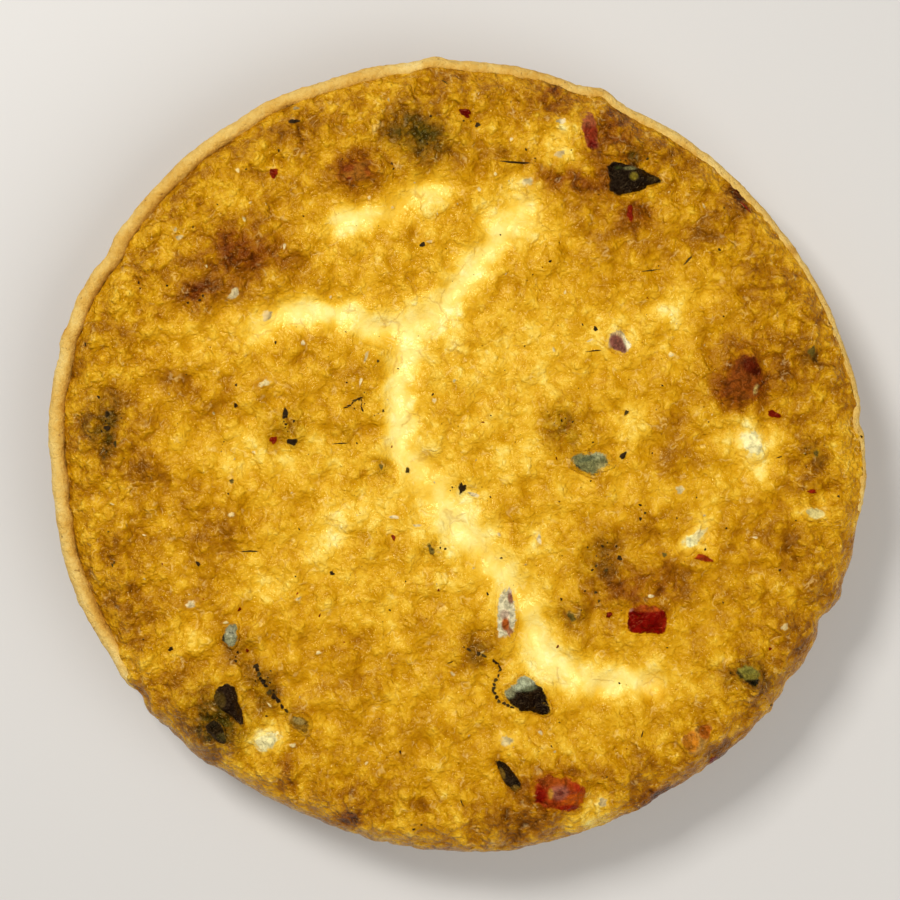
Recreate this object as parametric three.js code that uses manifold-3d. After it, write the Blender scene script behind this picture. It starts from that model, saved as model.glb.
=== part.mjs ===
// A whole baked quiche, 24 cm across. A shortcrust shell holds a browned filling of egg and
// cheese, which has run over the rim along one side, and the larger pieces of tomato, ham,
// bacon, spinach and soft cheese lie half sunk in its top.
//
// Millimetres, +Z up. The origin is on the surface that the quiche stands on, below the
// middle of its box. Angles are in degrees, counter-clockwise from +X, seen from above.

import * as THREE from 'three';
import { mergeVertices } from 'three/addons/utils/BufferGeometryUtils.js';
import Module from 'manifold-3d';

const wasm = await Module();
wasm.setup();

// Driving dimensions: the pastry shell
const RIM_RADIUS = 117.9; // mean outer radius at the rim
const RIM_MIDDLE_X = -0.9; // the rim's middle, set off from the middle of the box
const OVAL = 2.2; // how far the round is pulled into an oval
const OVAL_TURN = -16; // direction of the oval's long axis
const SQUARE = 0.6; // how far it is pulled towards four blunt corners
const FOOT_RADIUS = 107; // outer radius at the base
const RIM_HEIGHT = 30; // top of the rim
const WALL = 5; // pastry thickness of the wall
const BASE = 4; // pastry thickness of the floor
const ROUND = 3; // height of the rim's rounded top
const RIM_WAVE = 0.5; // how far the rim's top rises and falls

// Driving dimensions: the filling
const LEVEL = 32.4; // top of the filling, away from its edge
const FIT = 0.6; // gap between pastry and filling
const LIP = 4.5; // how far the filling stands out past the pastry where it ran over
const RIM_SINK = 3; // how much lower the pastry is under that filling
const RUN_DOWN = 9; // fall along the outer wall for each step of 1 in reach past the rim
const EDGE_TUCKED = 5; // width of the rounded edge inside the rim
const EDGE_OVER = 11; // width of the rounded edge where the filling ran over
const EDGE_POWER_TUCKED = 0.9; // how it rises from the rim: 1 as a plain slope that levels out
const EDGE_POWER_OVER = 0.5; // and from the outer wall: 0.5 as a quarter round
const EDGE_OUT = 0.15; // how far the edge stands out past where it meets the pastry
const EDGE_UP_TUCKED = 0.3; // how far above that place the rounding starts inside the rim
const EDGE_UP_OVER = 1.2; // and where the filling ran over
const OVER_FROM = 0.7; // reach at which the filling begins to count as run over
const OVER_TO = 1.2; // reach at which it has run over fully
const LUMP_LENGTH = 10.5; // spacing of the lumps in the baked top
const LUMP_HEIGHT = 0.55; // their mean height
const LUMP_WAVES = 7; // directions that the lumps are summed from

// Driving dimensions: toppings
const CLEAR = 0.3; // gap between a topping and the filling round it
const BLOCK_FALL = 0.95; // share of its height that a block loses towards its edge
const LEAF_FALL = 0.6; // how far a leaf's edge lies below its middle
const LEAF_CURL = 0.35; // how far its edge waves up and down
const FLAKES_SPREAD = 26; // small flakes spread over the whole top
const FLAKES_RADIUS = 106; // out to this radius
const FLAKE_SHIFT = 10; // width of the square that each is moved in
const FLAKE_LONG = 3.4; // least length
const FLAKE_MORE = 2.4; // most added to it
const FLAKE_ROUND = 0.65; // width of a spread flake as a share of its length
const FLAKE_HIGH = 0.9; // half height of a flake of no width
const FLAKE_HIGHER = 0.12; // added to it for each millimetre of width
const FLAKE_LIFT = 0.15; // how far a flake's middle lies above the top
const FLAKE_CLEAR = 1.2; // least gap between a flake and what lies beside it
const BED_CUT = 12; // height of the tool that cuts a topping's bed

// Mesh fineness
const FILLING_RINGS = 20;
const RINGS_END = 0.62; // share of the edge's rounding that lies outside the top's even rings
const BEND_AT = 0.24; // share of it that lies outside the ring after them
const STEPS = 6 * FILLING_RINGS; // round the rim, alike for pastry and filling
const SLAB_SIDES = 12;
const SLAB_RING = 0.55; // share of a topping's radius at which its inner ring lies

const GOLDEN_ANGLE = Math.PI * (3 - Math.sqrt(5));

// How far the filling reaches over the rim at an angle: 0 is the inner side of the rounded
// rim, 1 its outer side, and more than that is down the outer wall. [angle, reach]
const REACH = [
  [0, 0.62], [30, 0.55], [60, 0.45], [90, 0.4], [110, 0.3], [130, 0.2], [160, 0.12],
  [204, 0.12], [226, 1.4], [338, 1.4], [357, 0.65], [360, 0.62],
];

// Bulges and notches of the outline. [angle, half width in degrees, height]
const OUTLINE_LUMPS = [
  [5, 1.5, -0.7], [62, 4, -0.9], [68, 1.5, 1.1], [72, 2, -0.5], [93, 2, 1.1], [118, 4, 0.8],
  [130, 8, 0.5], [150, 2, -0.9], [158, 3, 0.6], [163, 1.5, 0.9], [184, 8, -1.5], [220, 4, 1.3],
  [229, 3, 1.3], [247, 10, -0.8], [277, 6, 0.6], [303, 3, -0.6], [315, 4, 0.5], [321, 1.5, 0.9],
  [326, 1.5, -1.0], [336, 1.5, -1.9], [340, 1.5, 0.9], [348, 2, 1.0], [358, 3, 0.5],
];

// Raised, browned parts of the top. [x, y, radius, height]
const SWELLS = [
  [-62, 60, 13, 1.8], [-75, 48, 6, 0.8], [-29, 82, 10, 1.4], [-12, 92, 10, 1.2], [47, 93, 11, 1.2],
  [28, 105, 6, 0.6], [33, 81, 7, 0.6], [83, 22, 11, 1.5], [31, 10, 7, 0.9], [-102, 8, 9, 0.7],
  [-92, -2, 12, 0.7], [-68, -18, 9, 1.2], [-101, -35, 8, 0.6], [52, -38, 9, 1.5], [6, -57, 6, 0.6],
  [84, -64, 8, 0.9], [69, -84, 8, 0.9], [29, -98, 9, 0.9], [-33, -68, 9, 1.0], [-46, -77, 5, 0.5],
  [-70, -77, 10, 1.0],
];

// Small dips of the top. [x, y, radius, height]
const DIPS = [
  [-31, -52, 5, -1.0], [-58, -39, 7, -0.7], [-75, 33, 6, -0.6], [17, 76, 6, -0.8],
  [-3, -98, 6, -0.7], [43, -101, 6, -0.7], [86, 5, 7, -0.5],
];

// Sunken channels where the filling stayed pale: half width, depth and line.
const CHANNELS = [
  {
    wide: 5,
    deep: 1.5,
    line: [[-57, 38], [-46, 42], [-33, 41], [-22, 36], [-8, 42], [3, 52], [9, 61], [18, 72]],
  },
  {
    wide: 6,
    deep: 1.9,
    line: [[-15, 36], [-16, 20], [-17, 4], [-9, -7], [0, -20], [8, -30], [18, -42], [23, -54]],
  },
  { wide: 5, deep: 1.6, line: [[23, -54], [28, -61], [40, -67], [50, -65], [58, -68]] },
  { wide: 4, deep: 1.0, line: [[-34, 69], [-19, 72], [-7, 78]] },
];

// How each kind of larger piece lies: stand is how far it rises above the filling and sink
// how deep it sits in it. corner is 2 for an ellipse and more for a squarer outline, and
// lobes is the share by which the outline waves in and out.
const KINDS = {
  tomato: { stand: 1.4, sink: 2.2, corner: 2.9, lobes: 0.07 },
  pepper: { stand: 1.2, sink: 2.0, corner: 2.3, lobes: 0.13 },
  ham: { stand: 1.1, sink: 1.8, corner: 2.7, lobes: 0.08 },
  bacon: { stand: 1.3, sink: 2.0, corner: 2.5, lobes: 0.11 },
  cheese: { stand: 1.0, sink: 2.0, corner: 2.2, lobes: 0.1 },
  leaf: { stand: 1.3, sink: 0.1, corner: 2.2, lobes: 0.14 },
};

// The larger pieces. long and wide are their size seen from above, and turn is the
// direction of long. [name, kind, x, y, long, wide, turn]
const PIECES = [
  ['tomato_a', 'tomato', 55, -47.5, 13.5, 10, -3],
  ['tomato_b', 'tomato', 29, -98, 18, 12, -12],
  ['pepper', 'pepper', 69.5, -82, 12.5, 7.5, 42],
  ['ham_a', 'ham', 38.5, 94.5, 15, 6, 100],
  ['ham_b', 'ham', 47, 33.5, 9, 7, -40],
  ['ham_c', 'ham', 14, -46, 18, 7, 90],
  ['bacon_a', 'bacon', 83, 22.5, 19, 12, 65],
  ['bacon_b', 'bacon', -29.5, 83, 12, 8, 15],
  ['cheese_a', 'cheese', 85.5, 4.5, 13, 10, 105],
  ['cheese_b', 'cheese', -56, -83, 12, 8, 30],
  ['cheese_c', 'cheese', 69, -23.5, 14, 6, 40],
  ['cheese_d', 'cheese', 104, -16.5, 9, 5, -10],
  ['leaf_a', 'leaf', 50.5, 81, 16, 8.5, -4],
  ['leaf_b', 'leaf', 20.5, -70, 15, 10, -30],
  ['leaf_c', 'leaf', 38, -1.5, 14, 8, -5],
  ['leaf_d', 'leaf', -66.5, -72, 14, 6, -58],
  ['leaf_e', 'leaf', -70.5, -80, 9, 4.5, -55],
  ['leaf_f', 'leaf', -66.5, -52, 8, 5.5, 80],
  ['leaf_g', 'leaf', -46, -77.5, 9, 5.5, -30],
  ['leaf_h', 'leaf', 14.5, -93, 11, 4, -55],
  ['leaf_i', 'leaf', 84.5, -63.5, 11, 7.5, -30],
];
const TOPPINGS = PIECES.map(([name, kind, x, y, long, wide, turn]) => ({
  name, kind, x, y, long, wide, turn, ...KINDS[kind],
}));

// Small pieces of onion, ham, pepper and leaf that stand out of the top. [x, y, long, wide, turn]
const FLAKES = [
  [2, 100.5, 5.5, 3, -25], [71.5, -29.5, 6.5, 2.5, -8], [50, 71, 6, 2.5, 95],
  [-19, -23.5, 2.5, 1.5, 95], [92, 12.5, 5, 2.5, -30], [103, -10, 4, 1.5, -3],
  [44, -46, 2.5, 2, 0], [95, -49.5, 5, 3.5, 60], [103, 31, 6, 4, 80], [104.5, 1, 6, 4, 110],
  [33, -46.5, 7, 5, -60], [-8, -27, 9, 3.5, -70], [-48.5, 4.5, 5.5, 2.5, 0],
  [-50.5, 12.5, 4, 3, 100], [-102.5, 8.5, 3, 2.5, 0], [-102.5, 12.5, 3, 2, 60],
  [-100, 4, 3, 1.5, 80], [1, -9, 4.5, 3, 65], [48, 0.5, 4, 2, 35], [-48, 98, 4.5, 2, 15],
  [-47.5, 102, 4.5, 2.5, 10], [4.5, -11, 6, 2.5, -15], [-19, -17.5, 6, 2, -10],
  [-12, -20, 5, 2, -5], [64.5, -9.5, 6, 4.5, -60], [-78, -43, 8, 4, 5], [-56.5, 21.5, 7, 4, 25],
  [14, -83, 9.5, 5, 5], [30, 98, 6, 3.5, 10], [29.5, 88.5, 8, 3.5, 15], [20.5, 80.5, 7, 5, 40],
  [-65.5, 47.5, 8, 5, 45], [-56, 41.5, 7, 5, 35], [-27, 29, 7, 2, 75], [-28.5, 22, 5, 1.5, 80],
  [42, -101, 6, 4.5, 0], [23.5, -24, 6, 3.5, 85], [56, -40.5, 4, 2, 10], [-81.5, 64, 4, 3, 5],
  [6, 78, 2.5, 2.5, 0],
];

const MATERIALS = {
  crust: { color: '#d8a650', roughness: 0.75, metalness: 0 },
  filling: { color: '#d69c26', roughness: 0.45, metalness: 0 },
  tomato: { color: '#8c1a06', roughness: 0.2, metalness: 0 },
  pepper: { color: '#bb5d10', roughness: 0.3, metalness: 0 },
  ham: { color: '#9a5236', roughness: 0.4, metalness: 0 },
  bacon: { color: '#7b3409', roughness: 0.4, metalness: 0 },
  cheese: { color: '#f6de87', roughness: 0.5, metalness: 0 },
  leaf: { color: '#2c3020', roughness: 0.5, metalness: 0 },
};

const radians = (degrees) => THREE.MathUtils.degToRad(degrees);
const smooth = THREE.MathUtils.smoothstep;
const bell = (offset, width) => Math.exp(-((offset / width) ** 2));

// Repeatable number from 0 to 1 for a whole number.
function chance(seed) {
  const wide = Math.sin(seed * 127.1 + 311.7) * 43758.5453;
  return wide - Math.floor(wide);
}

// ---- Outline and heights ----

// Shortest way round from one angle to another.
function angleBetween(from, to) {
  return ((((to - from) % 360) + 540) % 360) - 180;
}

function reachAt(angle) {
  const turned = ((angle % 360) + 360) % 360;
  const next = REACH.findIndex(([at]) => at > turned);
  const [fromAngle, fromReach] = REACH[next - 1];
  const [toAngle, toReach] = REACH[next];
  return fromReach + (toReach - fromReach) * smooth(turned, fromAngle, toAngle);
}

// 0 where the filling stays inside the rim, 1 where it has run over.
function overAt(angle) {
  return smooth(reachAt(angle), OVER_FROM, OVER_TO);
}

function ovalRadius(angle) {
  const oval = OVAL * Math.cos(2 * radians(angle - OVAL_TURN));
  return RIM_RADIUS + oval + SQUARE * Math.cos(4 * radians(angle));
}

function outlineLump(angle) {
  const sum = (total, [at, half, height]) => total + height * bell(angleBetween(at, angle), half);
  return OUTLINE_LUMPS.reduce(sum, 0);
}

// Outermost radius, of pastry or of the filling that has run over it.
function outlineRadius(angle) {
  return ovalRadius(angle) + outlineLump(angle);
}

function rimRadius(angle) {
  const over = overAt(angle);
  return ovalRadius(angle) + outlineLump(angle) * (1 - over) - LIP * over;
}

function rimTop(angle) {
  const wave = RIM_WAVE * Math.sin(radians(3 * angle + 40)) * Math.cos(radians(5 * angle));
  return RIM_HEIGHT - RIM_SINK * overAt(angle) + wave;
}

function footRadius(angle) {
  return FOOT_RADIUS + ovalRadius(angle) - RIM_RADIUS;
}

// Radius and height of a point on the rim, moved out from the pastry by clear. along is 0
// at the rim's inner side and 1 at its outer side, and then goes on down the wall.
function rimPoint(angle, along, clear) {
  const radius = rimRadius(angle);
  const shoulder = rimTop(angle) - ROUND;
  if (along > 1) {
    const fall = (along - 1) * RUN_DOWN;
    const lean = (radius - footRadius(angle)) / shoulder;
    return [radius + clear - fall * lean, shoulder - fall];
  }
  const turn = Math.PI * (1 - along);
  const middle = radius - WALL / 2;
  const out = (WALL / 2 + clear) * Math.cos(turn);
  return [middle + out, shoulder + (ROUND + clear) * Math.sin(turn)];
}

function distanceToLine(x, y, line) {
  const point = new THREE.Vector3(x, y, 0);
  const nearest = new THREE.Vector3();
  let least = Infinity;
  for (let i = 1; i < line.length; i += 1) {
    const from = new THREE.Vector3(...line[i - 1], 0);
    const to = new THREE.Vector3(...line[i], 0);
    new THREE.Line3(from, to).closestPointToPoint(point, true, nearest);
    least = Math.min(least, nearest.distanceTo(point));
  }
  return least;
}

// Lumps of the baked top: waves of near lengths in many directions.
function lumpiness(x, y) {
  let total = 0;
  for (let k = 0; k < LUMP_WAVES; k += 1) {
    const heading = k * GOLDEN_ANGLE;
    const length = LUMP_LENGTH * (0.8 + 0.08 * k);
    const across = x * Math.cos(heading) + y * Math.sin(heading);
    total += Math.sin((2 * Math.PI * across) / length + k * k);
  }
  return total / Math.sqrt(LUMP_WAVES / 2);
}

// Height of the filling's top away from its edge.
function openLevel(x, y) {
  let level = LEVEL + LUMP_HEIGHT * lumpiness(x, y);
  for (const [atX, atY, radius, rise] of [...SWELLS, ...DIPS]) {
    level += rise * bell(Math.hypot(x - atX, y - atY), radius);
  }
  for (const { wide, deep, line } of CHANNELS) level -= deep * bell(distanceToLine(x, y, line), wide);
  return level;
}

// The filling's edge at an angle: how far out it stands, the height it rises from, how wide
// its rounding is and how steeply it starts.
function edgeAt(angle) {
  const over = overAt(angle);
  const [meetRadius, meetHeight] = rimPoint(angle, reachAt(angle), FIT);
  const radius = THREE.MathUtils.lerp(meetRadius + EDGE_OUT, outlineRadius(angle), over);
  const foot = meetHeight + THREE.MathUtils.lerp(EDGE_UP_TUCKED, EDGE_UP_OVER, over);
  const width = THREE.MathUtils.lerp(EDGE_TUCKED, EDGE_OVER, over);
  const power = THREE.MathUtils.lerp(EDGE_POWER_TUCKED, EDGE_POWER_OVER, over);
  return { radius, foot, width, power };
}

// Height of the filling's top at any place, with its rounded edge.
function topHeight(x, y) {
  const angle = THREE.MathUtils.radToDeg(Math.atan2(y, x - RIM_MIDDLE_X));
  const { radius, foot, width, power } = edgeAt(angle);
  const inward = radius - Math.hypot(x - RIM_MIDDLE_X, y);
  const share = THREE.MathUtils.clamp(inward / width, 0, 1);
  return foot + (openLevel(x, y) - foot) * (1 - (1 - share) ** 2) ** power;
}

// ---- Meshes ----

function geometryOf(points, faces) {
  const geometry = new THREE.BufferGeometry();
  geometry.setAttribute('position', new THREE.Float32BufferAttribute(points.flat(), 3));
  geometry.setIndex(faces.flat());
  return geometry;
}

function polar(angle, radius, height) {
  const x = RIM_MIDDLE_X + radius * Math.cos(radians(angle));
  return [x, radius * Math.sin(radians(angle)), height];
}

// Joins rings of equal count, each given by the index of its first point. slant turns the
// diagonals the other way, so that pastry and filling run side by side where they twist.
function joinRings(faces, starts, count, slant = false) {
  for (let ring = 1; ring < starts.length; ring += 1) {
    for (let i = 0; i < count; i += 1) {
      const next = (i + 1) % count;
      const [near, far] = [starts[ring - 1], starts[ring]];
      faces.push([near + i, far + i, slant ? near + next : far + next]);
      faces.push([slant ? far + i : near + i, far + next, near + next]);
    }
  }
}

// The pastry: floor, leaning wall and rounded rim, turned round the middle of the rim.
function crustProfile(angle) {
  const inside = [[footRadius(angle) - WALL, BASE]];
  const rim = [0, 0.2, 0.4, 0.6, 0.8, 1].map((along) => rimPoint(angle, along, 0));
  const outside = [[footRadius(angle), 1.5], [footRadius(angle) - 1.5, 0]];
  return [...inside, ...rim, ...outside];
}

function makeCrust() {
  const points = [polar(0, 0, BASE)];
  const faces = [];
  const angles = Array.from({ length: STEPS }, (_, i) => (360 * i) / STEPS);
  const profiles = angles.map(crustProfile);
  const starts = profiles[0].map((_, ring) => 1 + ring * STEPS);
  for (let ring = 0; ring < starts.length; ring += 1) {
    profiles.forEach((profile, i) => points.push(polar(angles[i], ...profile[ring])));
  }
  joinRings(faces, starts, STEPS, true);
  const under = points.push(polar(0, 0, 0)) - 1;
  for (let i = 0; i < STEPS; i += 1) {
    const next = (i + 1) % STEPS;
    faces.push([0, 1 + i, 1 + next]);
    faces.push([starts.at(-1) + i, under, starts.at(-1) + next]);
  }
  return geometryOf(points, faces);
}

// The filling's side, from its rounded top edge down over or inside the rim to the floor.
function fillingSide(angle) {
  const { radius, foot, width } = edgeAt(angle);
  const bend = [BEND_AT, 0].map((share) => {
    const [x, y] = polar(angle, radius - width * share, 0);
    return [radius - width * share, share ? topHeight(x, y) : foot];
  });
  const reach = reachAt(angle);
  const under = [1, 0.8, 0.6, 0.4, 0.2, 0].map((share) => rimPoint(angle, reach * share, FIT));
  return [...bend, ...under, [footRadius(angle) - WALL - FIT - 0.6, BASE + CLEAR]];
}

// The top is a disc of rings with 6, 12, 18 ... points, so that its triangles stay even.
function makeFilling() {
  const points = [polar(0, 0, topHeight(RIM_MIDDLE_X, 0))];
  const faces = [];
  const firstOf = (ring) => (ring ? 1 + 3 * ring * (ring - 1) : 0);
  for (let ring = 1; ring <= FILLING_RINGS; ring += 1) {
    const around = 6 * ring;
    for (let i = 0; i < around; i += 1) {
      const angle = (360 * i) / around;
      const { radius, width } = edgeAt(angle);
      const [x, y] = polar(angle, ((radius - RINGS_END * width) * ring) / FILLING_RINGS, 0);
      points.push([x, y, topHeight(x, y)]);
      const sector = Math.floor(i / ring);
      const step = i % ring;
      const innerStep = sector * (ring - 1) + step;
      const inner = (offset) => firstOf(ring - 1) + ((innerStep + offset) % (around - 6 || 1));
      const outer = firstOf(ring) + i;
      const outerNext = firstOf(ring) + ((i + 1) % around);
      faces.push([inner(0), outer, outerNext]);
      if (step < ring - 1) faces.push([inner(0), outerNext, inner(1)]);
    }
  }
  const angles = Array.from({ length: STEPS }, (_, i) => (360 * i) / STEPS);
  const sides = angles.map(fillingSide);
  const starts = [firstOf(FILLING_RINGS)];
  for (let ring = 0; ring < sides[0].length; ring += 1) {
    starts.push(points.length);
    sides.forEach((side, i) => points.push(polar(angles[i], ...side[ring])));
  }
  joinRings(faces, starts, STEPS);
  const under = points.push(polar(0, 0, BASE + CLEAR)) - 1;
  const last = starts.at(-1);
  for (let i = 0; i < STEPS; i += 1) faces.push([last + i, under, last + ((i + 1) % STEPS)]);
  return geometryOf(points, faces);
}

// Outline radius of a topping at a turn from its long side.
function slabRadius({ long, wide, corner, lobes, x, y }, turn, grow) {
  const across = Math.abs(Math.cos(turn) / (long / 2)) ** corner;
  const up = Math.abs(Math.sin(turn) / (wide / 2)) ** corner;
  const wave = 1 + lobes * Math.cos(3 * turn + x + y) + 0.5 * lobes * Math.cos(5 * turn + x);
  return (across + up) ** (-1 / corner) * wave + grow;
}

// How far a topping's top or bottom lies above the filling at a share of the way to its edge.
function slabOffset(topping, top, share, turn) {
  const { kind, stand, sink } = topping;
  if (kind !== 'leaf') return top ? stand * (1 - BLOCK_FALL * share ** 2) : -sink;
  const curl = LEAF_CURL * share * Math.sin(2 * turn + topping.x);
  return (top ? stand : -sink) - LEAF_FALL * share ** 2 + curl;
}

// A topping as a closed slab that follows the filling under it. grow widens it and deepens
// it, and lift raises its top, which makes the tool that cuts its bed in the filling.
function makeSlab(topping, grow = 0, lift = 0) {
  const points = [];
  const faces = [];
  const addPoint = (share, turn, top) => {
    const radius = share * slabRadius(topping, turn, grow);
    const heading = turn + radians(topping.turn);
    const x = topping.x + radius * Math.cos(heading);
    const y = topping.y + radius * Math.sin(heading);
    const raise = top ? lift : -grow;
    points.push([x, y, topHeight(x, y) + slabOffset(topping, top, share, turn) + raise]);
  };
  const turns = Array.from({ length: SLAB_SIDES }, (_, i) => (2 * Math.PI * i) / SLAB_SIDES);
  addPoint(0, 0, true);
  for (const share of [SLAB_RING, 1]) turns.forEach((turn) => addPoint(share, turn, true));
  for (const share of [1, SLAB_RING]) turns.forEach((turn) => addPoint(share, turn, false));
  addPoint(0, 0, false);
  const starts = [0, 1, 2, 3].map((ring) => 1 + ring * SLAB_SIDES);
  joinRings(faces, starts, SLAB_SIDES);
  for (let i = 0; i < SLAB_SIDES; i += 1) {
    const next = (i + 1) % SLAB_SIDES;
    faces.push([0, 1 + i, 1 + next]);
    faces.push([starts[3] + i, points.length - 1, starts[3] + next]);
  }
  return geometryOf(points, faces);
}

function makeFlake([x, y, long, wide, turn]) {
  const geometry = new THREE.IcosahedronGeometry(1, 0);
  geometry.deleteAttribute('normal');
  geometry.deleteAttribute('uv');
  geometry.scale(long / 2, wide / 2, FLAKE_HIGH + FLAKE_HIGHER * wide);
  geometry.rotateZ(radians(turn));
  geometry.translate(x, y, topHeight(x, y) + FLAKE_LIFT);
  return mergeVertices(geometry);
}

// Flakes spread over the top on a sunflower spiral, each moved a little, clear of toppings.
function spreadFlakes() {
  const spread = [];
  for (let k = 0; k < FLAKES_SPREAD; k += 1) {
    const radius = FLAKES_RADIUS * Math.sqrt((k + 0.5) / FLAKES_SPREAD);
    const x = radius * Math.cos(k * GOLDEN_ANGLE) + FLAKE_SHIFT * (chance(k) - 0.5);
    const y = radius * Math.sin(k * GOLDEN_ANGLE) + FLAKE_SHIFT * (chance(k + 100) - 0.5);
    const long = FLAKE_LONG + FLAKE_MORE * chance(k + 200);
    spread.push([x, y, long, long * FLAKE_ROUND, 360 * chance(k + 300)]);
  }
  return spread;
}

// Whether a piece of length long at x, y keeps its distance from others, [x, y, long] each.
function keepsOff(x, y, long, others) {
  const near = ([ox, oy, size]) => Math.hypot(x - ox, y - oy) < (long + size) / 2 + FLAKE_CLEAR;
  return !others.some(near);
}

function isClear([x, y, long]) {
  return keepsOff(x, y, long, TOPPINGS.map((topping) => [topping.x, topping.y, topping.long]));
}

function isApart([x, y, long], index, all) {
  return keepsOff(x, y, long, all.slice(0, index));
}

// ---- Cutting and joining ----

function solidOf(geometry) {
  const vertProperties = new Float32Array(geometry.attributes.position.array);
  const triVerts = new Uint32Array(geometry.index.array);
  return new wasm.Manifold(new wasm.Mesh({ numProp: 3, vertProperties, triVerts }));
}

function geometryFrom(solid) {
  const { vertProperties, triVerts } = solid.getMesh();
  const geometry = new THREE.BufferGeometry();
  geometry.setAttribute('position', new THREE.BufferAttribute(vertProperties, 3));
  geometry.setIndex(new THREE.BufferAttribute(triVerts, 1));
  return geometry;
}

function finishFilling() {
  let filling = solidOf(makeFilling());
  for (const topping of TOPPINGS) filling = filling.subtract(solidOf(makeSlab(topping, CLEAR, BED_CUT)));
  const flakes = [...FLAKES, ...spreadFlakes()].filter(isClear).filter(isApart);
  for (const flake of flakes) filling = filling.add(solidOf(makeFlake(flake)));
  return geometryFrom(filling);
}

// ---- The quiche ----

const group = new THREE.Group();

function addMesh(name, geometry, finish, place = [0, 0, 0]) {
  const mesh = new THREE.Mesh(geometry, new THREE.MeshStandardMaterial(finish));
  mesh.name = name;
  mesh.position.set(...place);
  group.add(mesh);
}

addMesh('crust', makeCrust(), MATERIALS.crust);
addMesh('filling', finishFilling(), MATERIALS.filling);
for (const topping of TOPPINGS) {
  const place = [topping.x, topping.y, topHeight(topping.x, topping.y)];
  const geometry = makeSlab(topping).translate(...place.map((value) => -value));
  addMesh(topping.name, geometry, MATERIALS[topping.kind], place);
}

export default group;
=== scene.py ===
"""A whole baked quiche on a plain floor: leaning shortcrust, a browned egg and cheese filling that has run
over one side of the rim, and pieces of tomato, pepper, ham, bacon, soft cheese and spinach in its top.

Shapes are worked out in millimetres and made in metres, in the frame of the part.
"""

import itertools
import math

import bpy
import numpy as np
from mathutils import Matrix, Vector


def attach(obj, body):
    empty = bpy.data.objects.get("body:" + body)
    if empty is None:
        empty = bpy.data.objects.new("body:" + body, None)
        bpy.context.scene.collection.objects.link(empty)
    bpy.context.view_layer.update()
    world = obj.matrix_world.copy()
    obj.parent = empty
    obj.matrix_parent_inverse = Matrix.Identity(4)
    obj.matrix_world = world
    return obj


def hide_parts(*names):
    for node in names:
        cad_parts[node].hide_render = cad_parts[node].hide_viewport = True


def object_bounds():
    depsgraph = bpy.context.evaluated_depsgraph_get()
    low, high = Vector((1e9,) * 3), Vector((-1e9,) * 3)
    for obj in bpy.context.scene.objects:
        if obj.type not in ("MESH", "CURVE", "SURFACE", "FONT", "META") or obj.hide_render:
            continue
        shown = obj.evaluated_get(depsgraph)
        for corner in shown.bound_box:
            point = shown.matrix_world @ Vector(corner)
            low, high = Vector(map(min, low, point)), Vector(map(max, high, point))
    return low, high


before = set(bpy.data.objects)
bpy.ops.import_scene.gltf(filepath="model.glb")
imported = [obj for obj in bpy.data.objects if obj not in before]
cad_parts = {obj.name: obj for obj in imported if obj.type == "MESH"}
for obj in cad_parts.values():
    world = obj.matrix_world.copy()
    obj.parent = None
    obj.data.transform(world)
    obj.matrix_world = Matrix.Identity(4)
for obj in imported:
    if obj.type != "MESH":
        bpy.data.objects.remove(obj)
CAD_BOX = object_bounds()

MM = 0.001
SEED = 24

# ---- Sizes of the pastry and the filling, as in the part ----

RIM_RADIUS = 117.9
RIM_MIDDLE_X = -0.9
OVAL, OVAL_TURN, SQUARE = 2.2, -16, 0.6
FOOT_RADIUS = 107
RIM_HEIGHT, WALL, BASE, ROUND, RIM_WAVE = 30, 5, 4, 3, 0.5
LEVEL, LIP, RIM_SINK, RUN_DOWN = 32.4, 4.5, 3, 9
FIT = -0.1  # the filling's edge is baked into the pastry
EDGE_TUCKED, EDGE_OVER = 7, 11
EDGE_POWER_TUCKED, EDGE_POWER_OVER = 0.9, 0.5
EDGE_UP_TUCKED, EDGE_UP_OVER = 0.05, 1.2
OVER_FROM, OVER_TO = 0.7, 1.2
LUMP_LENGTH, LUMP_HEIGHT, LUMP_WAVES = 10.5, 0.55, 7
LUMP_SHORTEST, LUMP_STEP = 0.8, 0.08  # shares of that length: the first wave's, and from each to the next
GOLDEN_ANGLE = math.pi * (3 - math.sqrt(5))

# [angle, how far the filling reaches over the rim]
REACH = np.array([
    (0, 0.62), (30, 0.55), (60, 0.45), (90, 0.4), (110, 0.3), (130, 0.2), (160, 0.12),
    (204, 0.12), (226, 1.4), (338, 1.4), (357, 0.65), (360, 0.62),
])

# (angle, half width, height) of bulges and notches of the outline
OUTLINE_LUMPS = [
    (5, 1.5, -0.7), (62, 4, -0.9), (68, 1.5, 1.1), (72, 2, -0.5), (93, 2, 1.1), (118, 4, 0.8),
    (130, 8, 0.5), (150, 2, -0.9), (158, 3, 0.6), (163, 1.5, 0.9), (184, 8, -1.5), (220, 4, 1.3),
    (229, 3, 1.3), (247, 10, -0.8), (277, 6, 0.6), (303, 3, -0.6), (315, 4, 0.5), (321, 1.5, 0.9),
    (326, 1.5, -1.0), (336, 1.5, -1.9), (340, 1.5, 0.9), (348, 2, 1.0), (358, 3, 0.5),
]

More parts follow.
